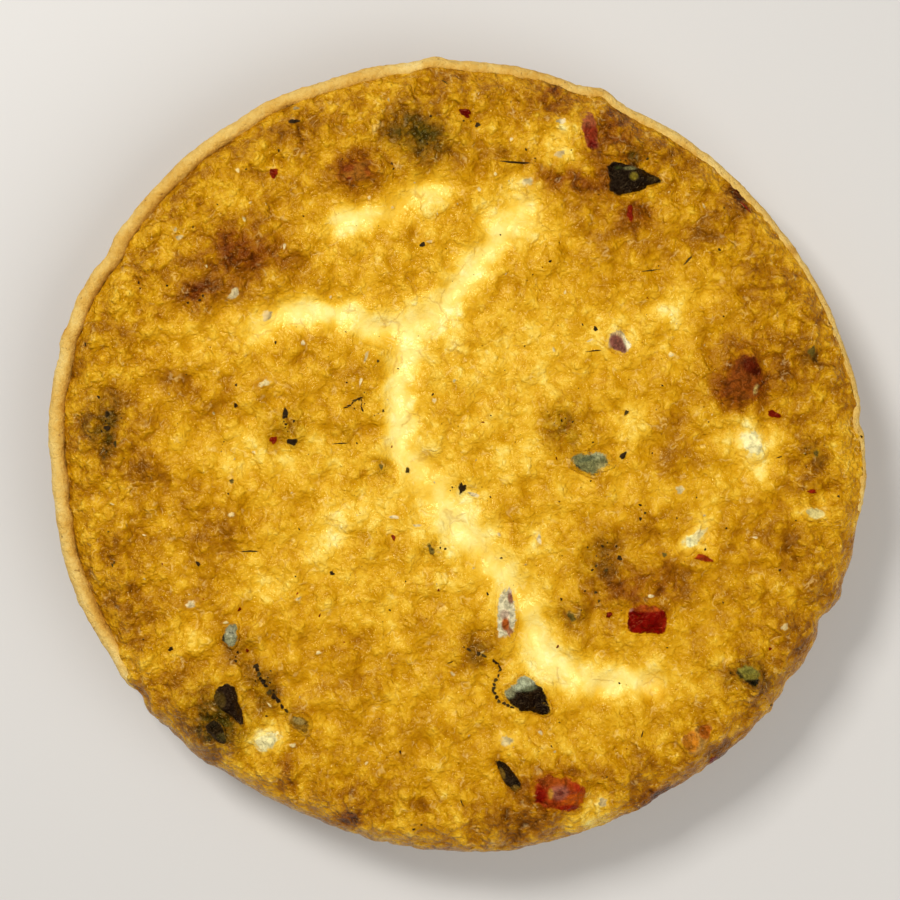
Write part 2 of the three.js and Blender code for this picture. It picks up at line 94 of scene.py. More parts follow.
# (x, y, radius, height) of swells and dips of the top
SWELLS = [
    (-62, 60, 13, 1.8), (-75, 48, 6, 0.8), (-29, 82, 10, 1.4), (-12, 92, 10, 1.2), (47, 93, 11, 1.2),
    (28, 105, 6, 0.6), (33, 81, 7, 0.6), (83, 22, 11, 1.5), (31, 10, 7, 0.9), (-102, 8, 9, 0.7),
    (-92, -2, 12, 0.7), (-68, -18, 9, 1.2), (-101, -35, 8, 0.6), (52, -38, 9, 1.5), (6, -57, 6, 0.6),
    (84, -64, 8, 0.9), (69, -84, 8, 0.9), (29, -98, 9, 0.9), (-33, -68, 9, 1.0), (-46, -77, 5, 0.5),
    (-70, -77, 10, 1.0),
    (-31, -52, 5, -1.0), (-58, -39, 7, -0.7), (-75, 33, 6, -0.6), (17, 76, 6, -0.8),
    (-3, -98, 6, -0.7), (43, -101, 6, -0.7), (86, 5, 7, -0.5),
]

# (half width, depth, line) of the sunken channels that stayed pale
CHANNELS = [
    (5, 1.5, [(-57, 38), (-46, 42), (-33, 41), (-22, 36), (-8, 42), (3, 52), (9, 61), (18, 72)]),
    (6, 1.9, [(-15, 36), (-16, 20), (-17, 4), (-9, -7), (0, -20), (8, -30), (18, -42), (23, -54)]),
    (5, 1.6, [(23, -54), (28, -61), (40, -67), (50, -65), (58, -68)]),
    (4, 1.0, [(-34, 69), (-19, 72), (-7, 78)]),
]

# How high each kind of piece stands, how square its corners are and how wavy its outline is
KINDS = {
    "tomato": dict(stand=1.4, corner=2.9, lobes=0.05),
    "pepper": dict(stand=1.2, corner=2.3, lobes=0.09),
    "ham": dict(stand=1.1, corner=2.7, lobes=0.06),
    "bacon": dict(stand=1.3, corner=2.5, lobes=0.08),
    "cheese": dict(stand=1.0, corner=2.2, lobes=0.07),
    "leaf": dict(stand=1.3, corner=2.2, lobes=0.1),
}

# name, kind, x, y, long, wide, turn, how much narrower the far end is
PIECES = [
    ("tomato_a", "tomato", 55, -47.5, 13.5, 10, -3, 0),
    ("tomato_b", "tomato", 29, -98, 18, 12, -12, -0.1),
    ("pepper", "pepper", 69.5, -82, 12.5, 7.5, 42, 0.15),
    ("ham_a", "ham", 38.5, 94.5, 15, 6, 100, -0.2),
    ("ham_b", "ham", 47, 33.5, 9, 7, -40, 0.2),
    ("ham_c", "ham", 14, -46, 18, 7, 90, 0),
    ("bacon_a", "bacon", 83, 22.5, 19, 12, 65, -0.1),
    ("bacon_b", "bacon", -29.5, 83, 12, 8, 15, 0),
    ("cheese_a", "cheese", 85.5, 4.5, 13, 10, 105, 0.2),
    ("cheese_b", "cheese", -56, -83, 12, 8, 30, 0),
    ("cheese_c", "cheese", 69, -23.5, 14, 6, 40, 0.3),
    ("cheese_d", "cheese", 104, -16.5, 9, 5, -10, 0),
    ("leaf_a", "leaf", 50.5, 81, 16, 8.5, -4, 0.4),
    ("leaf_b", "leaf", 20.5, -70, 15, 10, -30, 0.1),
    ("leaf_c", "leaf", 38, -1.5, 14, 8, -5, -0.3),
    ("leaf_d", "leaf", -66.5, -72, 14, 6, -58, 0.5),
    ("leaf_e", "leaf", -70.5, -80, 9, 4.5, -55, 0),
    ("leaf_f", "leaf", -66.5, -52, 8, 5.5, 80, 0),
    ("leaf_g", "leaf", -46, -77.5, 9, 5.5, -30, 0),
    ("leaf_h", "leaf", 14.5, -93, 11, 4, -55, 0),
    ("leaf_i", "leaf", 84.5, -63.5, 11, 7.5, -30, 0),
]
NAMES = ("name", "kind", "x", "y", "long", "wide", "turn", "narrow")
TOPPINGS = [dict(zip(NAMES, row), **KINDS[row[1]]) for row in PIECES]

# ---- Colour of the baked top: 0 is charred, 1 the palest custard ----

MIDDLE_TONE, EDGE_TONE = 0.695, 0.545
EDGE_FROM, EDGE_TO = 0.15, 0.95  # shares of the radius over which the tone turns to the edge's
DARK_CONTRAST, PALE_CONTRAST = 0.95, 1.8
TONE_BEND, TONE_MOST = 0.76, 0.95  # paler tones than the first are drawn in, and none passes the second
CHANNEL_TONE, RELIEF_SHADE_TONE = 0.12, 0.08  # how much paler a channel is, and each millimetre of relief, as painted light on lumps and painted shade in hollows
HUE_GAIN = 3.2  # a patch has all of its own hue where it changes the tone by 1 / HUE_GAIN or more
BLOTCHES = [(45, 0.06, 26), (24, 0.11, 13), (12, 0.12, 14), (6, 0.08, 15)]  # (length, most, seed)

# (x, y, long, wide, turn, change of tone) of browned patches, where the top stands up into the heat
GOLDEN = [
    (-46, 93, 7, 11, 15, -0.18), (-93, 55, 13, 10, -20, -0.14), (-81, 24, 10, 5, 20, -0.16),
    (-92, -3, 30, 9, -15, -0.2), (-69, -17, 17, 13, 0, -0.22), (-79, -23, 8, 5, 0, -0.15),
    (-101, -34, 12, 15, 0, -0.18), (-46, -77, 10, 7, 0, -0.2), (-32, -52, 13, 5, -5, -0.14),
    (-33, -68, 18, 11, 0, -0.12), (-9, -103, 9, 7, 0, -0.2), (-19, -88, 13, 7, 0, -0.1),
    (15, -107, 13, 8, 0, -0.2), (75, -89, 9, 5, 20, -0.2), (96, -56, 14, 10, 0, -0.15),
    (54, -18, 12, 13, 0, -0.18), (61, -31, 5, 8, 0, -0.14), (94, -26, 15, 9, 0, -0.1),
    (103, -3, 11, 15, 0, -0.16), (82, 77, 9, 13, 30, -0.18), (73, 63, 18, 14, 0, -0.1),
    (-36, 53, 34, 11, 5, -0.1),
]

# The same where it lies on meat or tomato, which colour it red
RUSTY = [
    (-29, 83, 14, 11, 0, -0.3), (-62, 60, 25, 16, -10, -0.36), (-75, 48, 12, 7, 5, -0.34),
    (-50, -93, 7, 12, 0, -0.18), (-31, -105, 12, 10, 0, -0.24), (29, -98, 21, 15, 0, -0.28),
    (57, -100, 12, 9, 20, -0.2), (52, -38, 22, 14, 0, -0.32), (82, 22, 21, 20, 50, -0.38),
    (46, 94, 14, 18, 0, -0.24), (33, 81, 21, 8, 5, -0.3), (52, 70, 12, 9, -35, -0.24),
    (28, 104, 14, 9, 0, -0.2), (82.5, 78, 9, 4, -58, -0.24), (28.5, 107.5, 7, 3, -22, -0.34),
    (-28, -4, 2, 1.5, 0, -0.14),
]

# The same where it lies on leaves, which colour it green
OLIVE = [
    (-12, 93, 21, 15, 0, -0.35), (-103, 9, 10, 17, 0, -0.26), (-50, 8, 15, 12, 0, -0.18),
    (-70, -77, 20, 19, 0, -0.34), (-56, -68, 20, 7, -55, -0.2), (6, -57, 12, 11, 0, -0.2),
    (85, -64, 14, 11, 0, -0.24), (42, -30, 12, 12, 0, -0.16), (33, -46, 9, 9, 0, -0.2),
    (31, 9, 12, 13, 0, -0.26), (104.5, 0.5, 8, 4.5, 110, -0.16), (103, 30.5, 7, 5, 90, -0.16),
    (-8, -27.5, 7, 4.5, 110, -0.14), (51, 87.5, 5, 6, 0, -0.25), (13, 88, 9, 4, 0, -0.1),
    (-64, -57, 7, 8, 0, -0.12), (-33, 7, 6, 5, 0, -0.1), (-29, 16.5, 6, 4, 30, -0.1),
    (-22.5, -3, 5, 5, 0, -0.16), (-27, -21.5, 5, 3.5, -40, -0.1), (-29.5, 35.5, 3.5, 3.5, 0, -0.1),
    (-6.5, 23, 3.5, 4, 0, -0.08), (-107.5, 9, 4, 6, 0, -0.1),
]

# The same of pale hollows and lumps of soft cheese
PALE = [
    (-17, 16, 9, 34, 0, 0.2), (-40, 41, 32, 7, 0, 0.22), (-8, 38, 28, 18, 40, 0.16),
    (2, 53, 20, 10, 45, 0.16), (-18, 2, 22, 10, 0, 0.12), (1, -21, 16, 18, 0, 0.18),
    (14, -36, 12, 16, 30, 0.12), (23, -53, 12, 20, 20, 0.16), (27, -61, 22, 9, 0, 0.18),
    (49, -66, 24, 11, 5, 0.2), (-30, 69, 16, 9, 0, 0.14), (-8, 75, 16, 7, 35, 0.12),
    (-57, -38, 15, 10, 0, 0.16), (-35, -20, 22, 14, 45, 0.1), (-40, -31, 20, 9, 0, 0.08),
    (-77, -53, 11, 10, 0, 0.12), (-57, -82, 15, 11, 15, 0.26), (-4, -97, 7, 22, 5, 0.12),
    (86, 5, 15, 16, 0, 0.26), (68, -24, 16, 9, 45, 0.2), (104, -16, 13, 8, 0, 0.14),
    (23, -24, 7, 9, 0, 0.12), (30, 92, 13, 16, 0, 0.14), (20, 80, 10, 8, 0, 0.12),
    (14, 68, 20, 12, 40, 0.12), (42, -101, 11, 9, 0, 0.12), (38, -107, 17, 8, 10, 0.14),
    (65, -10, 10, 9, 0, 0.08), (50, 12, 14, 11, 0, 0.1), (-70, 32, 22, 12, 0, 0.08),
    (62, 44, 12, 12, 0, 0.1), (48, 33, 12, 12, 0, 0.12), (14, -83, 12, 8, 0, 0.12),
    (89, -1.5, 7, 6, 0, 0.14), (58.5, -40.5, 8, 2.5, 0, 0.14),
]


def colour(code):
    """Linear colour with full alpha of an sRGB hex code."""
    channels = [int(code[i:i + 2], 16) / 255 for i in (1, 3, 5)]
    linear = [c / 12.92 if c <= 0.04045 else ((c + 0.055) / 1.055) ** 2.4 for c in channels]
    return (*linear, 1)


# ---- Shape of the pastry and the filling ----

def bell(offset, width):
    return np.exp(-((offset / width) ** 2))


def smooth(value, low, high):
    share = np.clip((value - low) / (high - low), 0, 1)
    return share * share * (3 - 2 * share)


def mix(low, high, share):
    return low + (high - low) * share


def reach_at(angle):
    """How far the filling reaches over the rim: 0 its inner side, 1 its outer side, more is down the wall."""
    turned = angle % 360
    after = np.searchsorted(REACH[:, 0], turned, side="right")
    before = REACH[after - 1]
    after = REACH[after]
    return mix(before[..., 1], after[..., 1], smooth(turned, before[..., 0], after[..., 0]))


def over_at(angle):
    """0 where the filling stays inside the rim, 1 where it has run over."""
    return smooth(reach_at(angle), OVER_FROM, OVER_TO)


def oval_radius(angle):
    oval = OVAL * np.cos(2 * np.radians(angle - OVAL_TURN))
    return RIM_RADIUS + oval + SQUARE * np.cos(4 * np.radians(angle))


def outline_lump(angle):
    total = 0
    for at, half, height in OUTLINE_LUMPS:
        total = total + height * bell((angle - at + 180) % 360 - 180, half)
    return total


def rim_radius(angle):
    over = over_at(angle)
    return oval_radius(angle) + outline_lump(angle) * (1 - over) - LIP * over


def rim_top(angle):
    wave = RIM_WAVE * np.sin(np.radians(3 * angle + 40)) * np.cos(np.radians(5 * angle))
    return RIM_HEIGHT - RIM_SINK * over_at(angle) + wave


def foot_radius(angle):
    return FOOT_RADIUS + oval_radius(angle) - RIM_RADIUS


def rim_point(angle, along, clear):
    """Radius and height on the rounded rim, moved out by clear.

    along is 0 at the inner side, 1 at the outer side and more down the wall.
    """
    radius = rim_radius(angle)
    shoulder = rim_top(angle) - ROUND
    fall = np.maximum(along - 1, 0) * RUN_DOWN
    lean = (radius - foot_radius(angle)) / shoulder
    turn = np.pi * (1 - np.minimum(along, 1))
    out = radius - WALL / 2 + (WALL / 2 + clear) * np.cos(turn) - fall * lean
    return out, shoulder + (ROUND + clear) * np.sin(turn) - fall


def line_distance(x, y, line):
    least = np.full(np.shape(x), np.inf)
    for (ax, ay), (bx, by) in zip(line, line[1:]):
        dx, dy = bx - ax, by - ay
        share = np.clip(((x - ax) * dx + (y - ay) * dy) / (dx * dx + dy * dy), 0, 1)
        least = np.minimum(least, np.hypot(x - ax - share * dx, y - ay - share * dy))
    return least


def open_level(x, y):
    """Height of the filling's top away from its edge."""
    waves = 0
    for k in range(LUMP_WAVES):
        across = x * math.cos(k * GOLDEN_ANGLE) + y * math.sin(k * GOLDEN_ANGLE)
        waves = waves + np.sin(2 * np.pi * across / (LUMP_LENGTH * (LUMP_SHORTEST + LUMP_STEP * k)) + k * k)
    level = LEVEL + LUMP_HEIGHT * waves / math.sqrt(LUMP_WAVES / 2)
    for at_x, at_y, radius, rise in SWELLS:
        level = level + rise * bell(np.hypot(x - at_x, y - at_y), radius)
    for wide, deep, line in CHANNELS:
        level = level - deep * bell(line_distance(x, y, line), wide)
    return level


def edge_at(angle):
    """Radius of the filling's edge, the height it rises from, its rounding's width, how steeply it starts."""
    over = over_at(angle)
    meet_radius, meet_height = rim_point(angle, reach_at(angle), FIT)
    radius = mix(meet_radius, oval_radius(angle) + outline_lump(angle), over)
    foot = meet_height + mix(EDGE_UP_TUCKED, EDGE_UP_OVER, over)
    return radius, foot, mix(EDGE_TUCKED, EDGE_OVER, over), mix(EDGE_POWER_TUCKED, EDGE_POWER_OVER, over)


def polar_of(x, y):
    """Angle and distance of a place from the rim's middle."""
    return np.degrees(np.arctan2(y, x - RIM_MIDDLE_X)), np.hypot(x - RIM_MIDDLE_X, y)


def place_at(angle, distance):
    """The place at that angle and distance from the rim's middle."""
    turn = np.radians(angle)
    return RIM_MIDDLE_X + distance * np.cos(turn), distance * np.sin(turn)


def top_height(x, y):
    angle, distance = polar_of(x, y)
    radius, foot, width, power = edge_at(angle)
    share = np.clip((radius - distance) / width, 0, 1)
    return foot + (open_level(x, y) - foot) * (1 - (1 - share) ** 2) ** power


def outline_wave(topping, turn):
    lobes = topping["lobes"]
    start = topping["x"] + topping["y"]
    return 1 + lobes * np.cos(3 * turn + start) + lobes / 2 * np.cos(5 * turn + topping["x"])


def outline_of(topping, turn):
    """Offset, along and across a topping, of its outline at a turn, in radians, from its long side."""
    power = 2 / topping["corner"]
    along = np.sign(np.cos(turn)) * np.abs(np.cos(turn)) ** power
    across = np.sign(np.sin(turn)) * np.abs(np.sin(turn)) ** power * (1 - topping["narrow"] * along)
    wave = outline_wave(topping, turn)
    return topping["long"] / 2 * along * wave, topping["wide"] / 2 * across * wave


def share_of(topping, x, y):
    """How far out a place lies in a topping: 0 its middle, 1 its outline."""
    c, s = math.cos(math.radians(topping["turn"])), math.sin(math.radians(topping["turn"]))
    along = ((x - topping["x"]) * c + (y - topping["y"]) * s) / (topping["long"] / 2)
    across = ((y - topping["y"]) * c - (x - topping["x"]) * s) / (topping["wide"] / 2)
    across = across / (1 - topping["narrow"] * np.clip(along, -1, 1))
    corner = topping["corner"]
    size = (np.abs(along) ** corner + np.abs(across) ** corner) ** (1 / corner)
    return size / outline_wave(topping, np.arctan2(across, along))


# ---- Noise that is the same at each run ----

random = np.random.default_rng(SEED)
SHUFFLE = random.permutation(256)
SLOPES = random.normal(size=(256, 3))
SLOPES /= np.linalg.norm(SLOPES, axis=1)[:, None]
SEED_STEP = 17.31
NOISE_GAIN = 1.6
FOLD_LEVEL = 0.3  # taken off folded noise, so that its creases lie below the top and its lumps above it


def noise(points, length, seed):
    """Smooth noise of about -1 to 1, with lumps of that length."""
    where = points / length + seed * SEED_STEP
    cell = np.floor(where).astype(int)
    part = where - cell
    fade = part ** 3 * (part * (part * 6 - 15) + 10)
    total = 0
    for corner in itertools.product((0, 1), repeat=3):
        ix, iy, iz = (cell + corner).T
        slope = SLOPES[SHUFFLE[(SHUFFLE[(SHUFFLE[ix & 255] + iy) & 255] + iz) & 255]]
        weight = np.prod(np.where(np.array(corner) == 1, fade, 1 - fade), axis=1)
        total = total + weight * ((part - corner) * slope).sum(axis=1)
    return total * NOISE_GAIN


def folded(points, length, seed):
    """Noise folded at its middle: round lumps with sharp creases between them."""
    return np.abs(noise(points, length, seed)) - FOLD_LEVEL


def patch_at(x, y, at_x, at_y, long, wide, turn):
    """1 in the middle of an oval patch, falling smoothly outside it."""
    c, s = math.cos(math.radians(turn)), math.sin(math.radians(turn))
    along = (x - at_x) * c + (y - at_y) * s
    across = (y - at_y) * c - (x - at_x) * s
    return np.exp(-((along / long * 2) ** 2) - (across / wide * 2) ** 2)


def calm_at(x, y):
    """1 in the pale channels, where the top set smooth."""
    return np.max([bell(line_distance(x, y, line), wide) for wide, deep, line in CHANNELS], axis=0)


BED_DEPTH, BED_FLAT = 0.9, 0.7  # the dip under a piece is deepest within that share of it
RING_HEIGHT, RING_AT, RING_WIDTH = 0.1, 1.2, 0.3  # the swell round a piece, the last two as shares of it


def bed_depth(x, y):
    """How far the filling dips under the toppings and swells up round them."""
    change = np.zeros(np.shape(x))
    for topping in TOPPINGS:
        share = share_of(topping, x, y)
        change -= BED_DEPTH * (1 - smooth(share, BED_FLAT, 1.0))
        change += RING_HEIGHT * bell(share - RING_AT, RING_WIDTH)
    return change


PUFF_LENGTH, PUFF_HEIGHT = 7.5, 1.0
CURD_LENGTH, CURD_HEIGHT = 3.4, 0.6
GRAIN_LENGTH, GRAIN_HEIGHT = 1.8, 0.14
# Puffs stand higher in some places than in others
UNEVEN_LENGTH, UNEVEN_MIDDLE, UNEVEN_SWING, UNEVEN_LEAST, UNEVEN_MOST = 26, 0.75, 0.9, 0.3, 1.1
CURDS_EVEN = 0.4  # share of the curds' height that is the same all over
CALM_LOSS = 0.65  # share of the relief that a channel lacks


def crumb_relief(points):
    """Fine relief of the baked top: puffed curds with creases between them, and grains of set egg."""
    uneven = UNEVEN_MIDDLE + UNEVEN_SWING * noise(points, UNEVEN_LENGTH, 4)
    uneven = np.clip(uneven, UNEVEN_LEAST, UNEVEN_MOST)
    puffs = PUFF_HEIGHT * folded(points, PUFF_LENGTH, 1) * uneven
    curds = CURD_HEIGHT * folded(points, CURD_LENGTH, 2) * mix(CURDS_EVEN, 1, uneven)
    grains = GRAIN_HEIGHT * noise(points, GRAIN_LENGTH, 3)
    return (puffs + curds + grains) * (1 - CALM_LOSS * calm_at(points[:, 0], points[:, 1]))


def surface(x, y):
    """Height of the baked top with its fine relief."""
    flat = top_height(x, y) + bed_depth(x, y)
    return flat + crumb_relief(np.stack([x, y, flat], 1))


PATCH_WARPS = [(3, 9, 11), (1.6, 3.5, 9)]  # (how far, length, seed)


def warped(points):
    """The points' places, moved about a little, so that a patch drawn there has a ragged edge."""
    x, y = points[:, 0], points[:, 1]
    for far, length, seed in PATCH_WARPS:
        x = x + far * noise(points, length, seed)
        y = y + far * noise(points, length, seed + 1)
    return x, y


def patches_at(points, patches):
    """Sum of the patches' changes of tone at each point."""
    x, y = warped(points)
    return sum(change * patch_at(x, y, *patch) for *patch, change in patches)


def edge_share(points, low, high):
    """0 within the first share of the filling's radius, 1 beyond the second."""
    angle, distance = polar_of(points[:, 0], points[:, 1])
    return smooth(distance / edge_at(angle)[0], low, high)


def baked_tone(points, relief):
    """How pale the baked top is at each point."""
    tone = mix(MIDDLE_TONE, EDGE_TONE, edge_share(points, EDGE_FROM, EDGE_TO))
    for length, most, seed in BLOTCHES:
        tone += most * noise(points, length, seed)
    browned = DARK_CONTRAST * patches_at(points, GOLDEN + RUSTY + OLIVE)
    tone += browned + PALE_CONTRAST * patches_at(points, PALE)
    # Each millimetre of relief makes the top paler: painted light on the lumps and painted shade in the
    # hollows
    tone += CHANNEL_TONE * calm_at(*warped(points)) + RELIEF_SHADE_TONE * relief
    room = TONE_MOST - TONE_BEND
    return np.where(tone > TONE_BEND, TONE_BEND + room * np.tanh((tone - TONE_BEND) / room), tone)


def hue_share(points, patches):
    """How much of their own hue patches give the top at each point, 1 in the middle of a strong one."""
    return np.clip(-HUE_GAIN * patches_at(points, patches), 0, 1)


# ---- Meshes ----

def draw_down(piece, loops):
    """Draws the open edge of a piece down in loops, one unit apart, and closes the last one to a point."""
    bpy.ops.object.mode_set(mode="EDIT")
    bpy.ops.mesh.select_all(action="DESELECT")
    bpy.ops.mesh.select_mode(type="EDGE")
    bpy.ops.mesh.select_non_manifold()
    for _ in range(loops):
        bpy.ops.mesh.extrude_edges_move(TRANSFORM_OT_translate={"value": (0, 0, -1)})
    bpy.ops.mesh.merge(type="CENTER")
    bpy.ops.object.mode_set(mode="OBJECT")


def start_piece(name, operator, **settings):
    """Adds a primitive, alone selected, under the piece's name."""
    bpy.ops.object.select_all(action="DESELECT")
    operator(**settings)
    piece = bpy.context.object
    piece.name = piece.data.name = name
    return piece


def points_of(piece):
    points = np.zeros(len(piece.data.vertices) * 3)
    piece.data.vertices.foreach_get("co", points)
    return points.reshape(-1, 3)


def normals_of(piece):
    normals = np.zeros(len(piece.data.vertices) * 3)
    piece.data.vertices.foreach_get("normal", normals)
    return normals.reshape(-1, 3)


def inside_box(points):
    """The points, in millimetres, with none of them outside the part's own box."""
    low, high = (np.array(corner) / MM for corner in CAD_BOX)
    return np.clip(points, low, high)


def place_points(piece, points):
    """Puts the piece's points at these places."""
    piece.data.vertices.foreach_set("co", (inside_box(points) * MM).ravel())
    piece.data.update()


def paint(piece, name, values):
    """Keeps a number or a colour for each point, for the piece's material to read."""
    values = np.asarray(values, np.float32)
    kind, field = ("FLOAT_COLOR", "color") if values.ndim == 2 else ("FLOAT", "value")
    attribute = piece.data.attributes.new(name, kind, "POINT")
    attribute.data.foreach_set(field, values.ravel())


# The skin is smooth in the pale channels, and craggy over meat and leaves and, from a share of the radius, at
# the edge
CALM_CRAGS, PIECE_CRAGS, EDGE_CRAGS = -0.7, 0.9, 0.5
CRAGS_FROM, CRAGS_TO = 0.72, 0.95


def paint_baked(piece, points, relief=0):
    """Keeps what the custard's colour and skin are worked out from."""
    rust, olive = hue_share(points, RUSTY), hue_share(points, OLIVE)
    craggy = 1 + CALM_CRAGS * calm_at(points[:, 0], points[:, 1]) + PIECE_CRAGS * (rust + olive)
    craggy += EDGE_CRAGS * edge_share(points, CRAGS_FROM, CRAGS_TO)
    paint(piece, "tone", baked_tone(points, relief))
    paint(piece, "rust", rust)
    paint(piece, "olive", olive)
    paint(piece, "craggy", craggy)


def round_grid(name, cells, loops):
    """A square grid drawn out to a round one, with each point's share of the radius, angle and loop."""
    settings = {"x_subdivisions": cells, "y_subdivisions": cells, "size": 2}
    piece = start_piece(name, bpy.ops.mesh.primitive_grid_add, **settings)
    draw_down(piece, loops)
    a, b, down = points_of(piece).T
    share = np.maximum(abs(a), abs(b))
    side = abs(a) >= abs(b)
    near = np.where(side, a, b)
    near = np.where(near == 0, 1, near)
    angle = np.where(side, 45 * b / near, 90 - 45 * a / near) + 180 * (near < 0)
    return piece, share, angle, np.round(-down).astype(int)


def finish_piece(piece, node, material):
    """Smooth shading, its material and a place under the root body; the part's own piece that it stands for
    is hidden.
    """
    bpy.ops.object.select_all(action="DESELECT")
    piece.select_set(True)
    bpy.context.view_layer.objects.active = piece
    bpy.ops.object.shade_smooth()
    piece.data.materials.clear()
    piece.data.materials.append(material)
    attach(piece, "root")
    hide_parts(node)


# ---- Materials ----

MULTIPLY = {"operation": "MULTIPLY"}
FROM_MIDDLE = {"operation": "SUBTRACT", 1: 0.5}
# Smooth step from the values of sockets 1 and 2 to those of 3 and 4, which are 0 and 1 where left out
STEP = {"interpolation_type": "SMOOTHSTEP"}


def per(length):
    """Scale of a pattern whose forms are about a length in millimetres."""
    return 1 / (length * MM)


def link(tree, source, socket):
    """Links a socket to an output, or to the first output of a node."""
    if isinstance(source, bpy.types.Node):
        source = source.outputs[0]
    tree.links.new(source, socket)


def add(tree, kind, settings=None, links=None):
    """Adds a node, with its own settings, its sockets' values and its links."""
    made = tree.nodes.new(kind)
    for name, value in (settings or {}).items():
        if name == "stops":
            for extra in value[2:]:
                made.color_ramp.elements.new(extra[0])
            for element, (at, code) in zip(made.color_ramp.elements, value):
                element.position = at
                element.color = colour(code)
        elif isinstance(name, str) and name[0].islower():
            setattr(made, name, value)
        else:
            made.inputs[name].default_value = value
    for name, source in (links or {}).items():
        link(tree, source, made.inputs[name])
    return made


def new_material(name, **settings):
    """An empty material with a shader and its output. Settings are the shader's own sockets."""
    material = bpy.data.materials.new(name)
    material.use_nodes = True
    tree = material.node_tree
    tree.nodes.clear()
    shader = add(tree, "ShaderNodeBsdfPrincipled", {k.replace("_", " "): v for k, v in settings.items()})
    add(tree, "ShaderNodeOutputMaterial", links={"Surface": shader})
    return material, tree, shader


def add_up(tree, first, others):
    """first plus a share of each of the others: (pattern, share)."""
    for pattern, share in others:
        first = add(tree, "ShaderNodeMath", {"operation": "MULTIPLY_ADD", 1: share}, {0: pattern, 2: first})
    return first


def vary(tree, first, others):
    """first plus a share of how far each of the others is from its middle: (pattern, share)."""
    for pattern, share in others:
        off = add(tree, "ShaderNodeMath", FROM_MIDDLE, {0: pattern})
        first = add_up(tree, first, [(off, share)])
    return first


def blend_to(tree, share, first, code, most):
    """first turned towards a colour by a share, most of it where the share is 1."""
    scaled = add(tree, "ShaderNodeMath", {**MULTIPLY, 1: most}, {0: share})
    settings = {"data_type": "RGBA", 7: colour(code)}
    return add(tree, "ShaderNodeMix", settings, {0: scaled, 6: first}).outputs[2]


def lumps(tree, place, length):
    """Round lumps of about a length in millimetres: 1 in their middles, 0 in the creases between them."""
    far = add(tree, "ShaderNodeTexVoronoi", {"Scale": per(length)}, {"Vector": place}).outputs["Distance"]
    return add(tree, "ShaderNodeMapRange", {**STEP, 1: 0.05, 2: 0.8, 3: 1, 4: 0}, {0: far})


def in_groups(tree, pattern, place, length, low, high):
    """A pattern in groups of about a length in millimetres, where noise is high, and none of it elsewhere."""
    where = add(tree, "ShaderNodeTexNoise", {"Scale": per(length), "Detail": 1}, {"Vector": place})
    where = add(tree, "ShaderNodeMapRange", {**STEP, 1: low, 2: high}, {0: where})
    return add(tree, "ShaderNodeMath", MULTIPLY, {0: pattern, 1: where})


def dress(tree, shader, skin, rough, relief, depth):
    """Gives a shader its colour, its roughness and a relief, whose depth is in millimetres."""
    bump = add(tree, "ShaderNodeBump", {"Strength": 1.0, "Distance": depth * MM}, {"Height": relief})
    for name, source in (("Base Color", skin), ("Roughness", rough), ("Normal", bump)):
        link(tree, source, shader.inputs[name])


# Lengths, in millimetres, of the forms of the baked skin
CURDS, BEADS, MOTTLE, GRAINS = 4.4, 1.7, 2.2, 0.7
BENDS, BEND_FAR = 4, 3.6
STROKES, STROKE_GROUPS = 3.4, 3.6
CREASES, CREASE_GROUPS = 8, 7
BUBBLE_CELLS = 3.2

CUSTARD_STOPS = [
    (0.0, "#240e02"), (0.12, "#4c2602"), (0.24, "#784402"), (0.36, "#9a6002"), (0.46, "#b27802"),
    (0.55, "#c48a08"), (0.63, "#d29a16"), (0.71, "#deaa26"), (0.79, "#e8bc42"), (0.86, "#eeca5c"),
    (0.93, "#f2d97a"), (1.0, "#f5e696"),
]


def bent_place(tree, place):
    """Object coordinates moved about, so that what is drawn on them curls."""
    warp = add(tree, "ShaderNodeTexNoise", {"Scale": per(BENDS)}, {"Vector": place}).outputs["Color"]
    settings = {"operation": "MULTIPLY_ADD", 1: (BEND_FAR * MM,) * 3}
    return add(tree, "ShaderNodeVectorMath", settings, {0: warp, 2: place})


def cheese_and_glint_strokes(tree, place, bent):
    """Thin pale strokes, along the curves where noise passes its middle: partly melted cheese, partly painted
    glints.
    """
    settings = {"Scale": per(STROKES), "Detail": 1}
    strokes = add(tree, "ShaderNodeTexNoise", settings, {"Vector": bent})
    strokes = add(tree, "ShaderNodeMath", FROM_MIDDLE, {0: strokes})
    strokes = add(tree, "ShaderNodeMath", {"operation": "ABSOLUTE"}, {0: strokes})
    strokes = add(tree, "ShaderNodeMapRange", {**STEP, 1: 0, 2: 0.05, 3: 1, 4: 0}, {0: strokes})
    return in_groups(tree, strokes, place, STROKE_GROUPS, 0.54, 0.68)


def skin_creases(tree, place, bent):
    """Fine creases of the skin."""
    settings = {"feature": "DISTANCE_TO_EDGE", "Scale": per(CREASES)}
    creases = add(tree, "ShaderNodeTexVoronoi", settings, {"Vector": bent}).outputs["Distance"]
    creases = add(tree, "ShaderNodeMapRange", {**STEP, 1: 0, 2: 0.06, 3: 1, 4: 0}, {0: creases})
    return in_groups(tree, creases, place, CREASE_GROUPS, 0.52, 0.64)


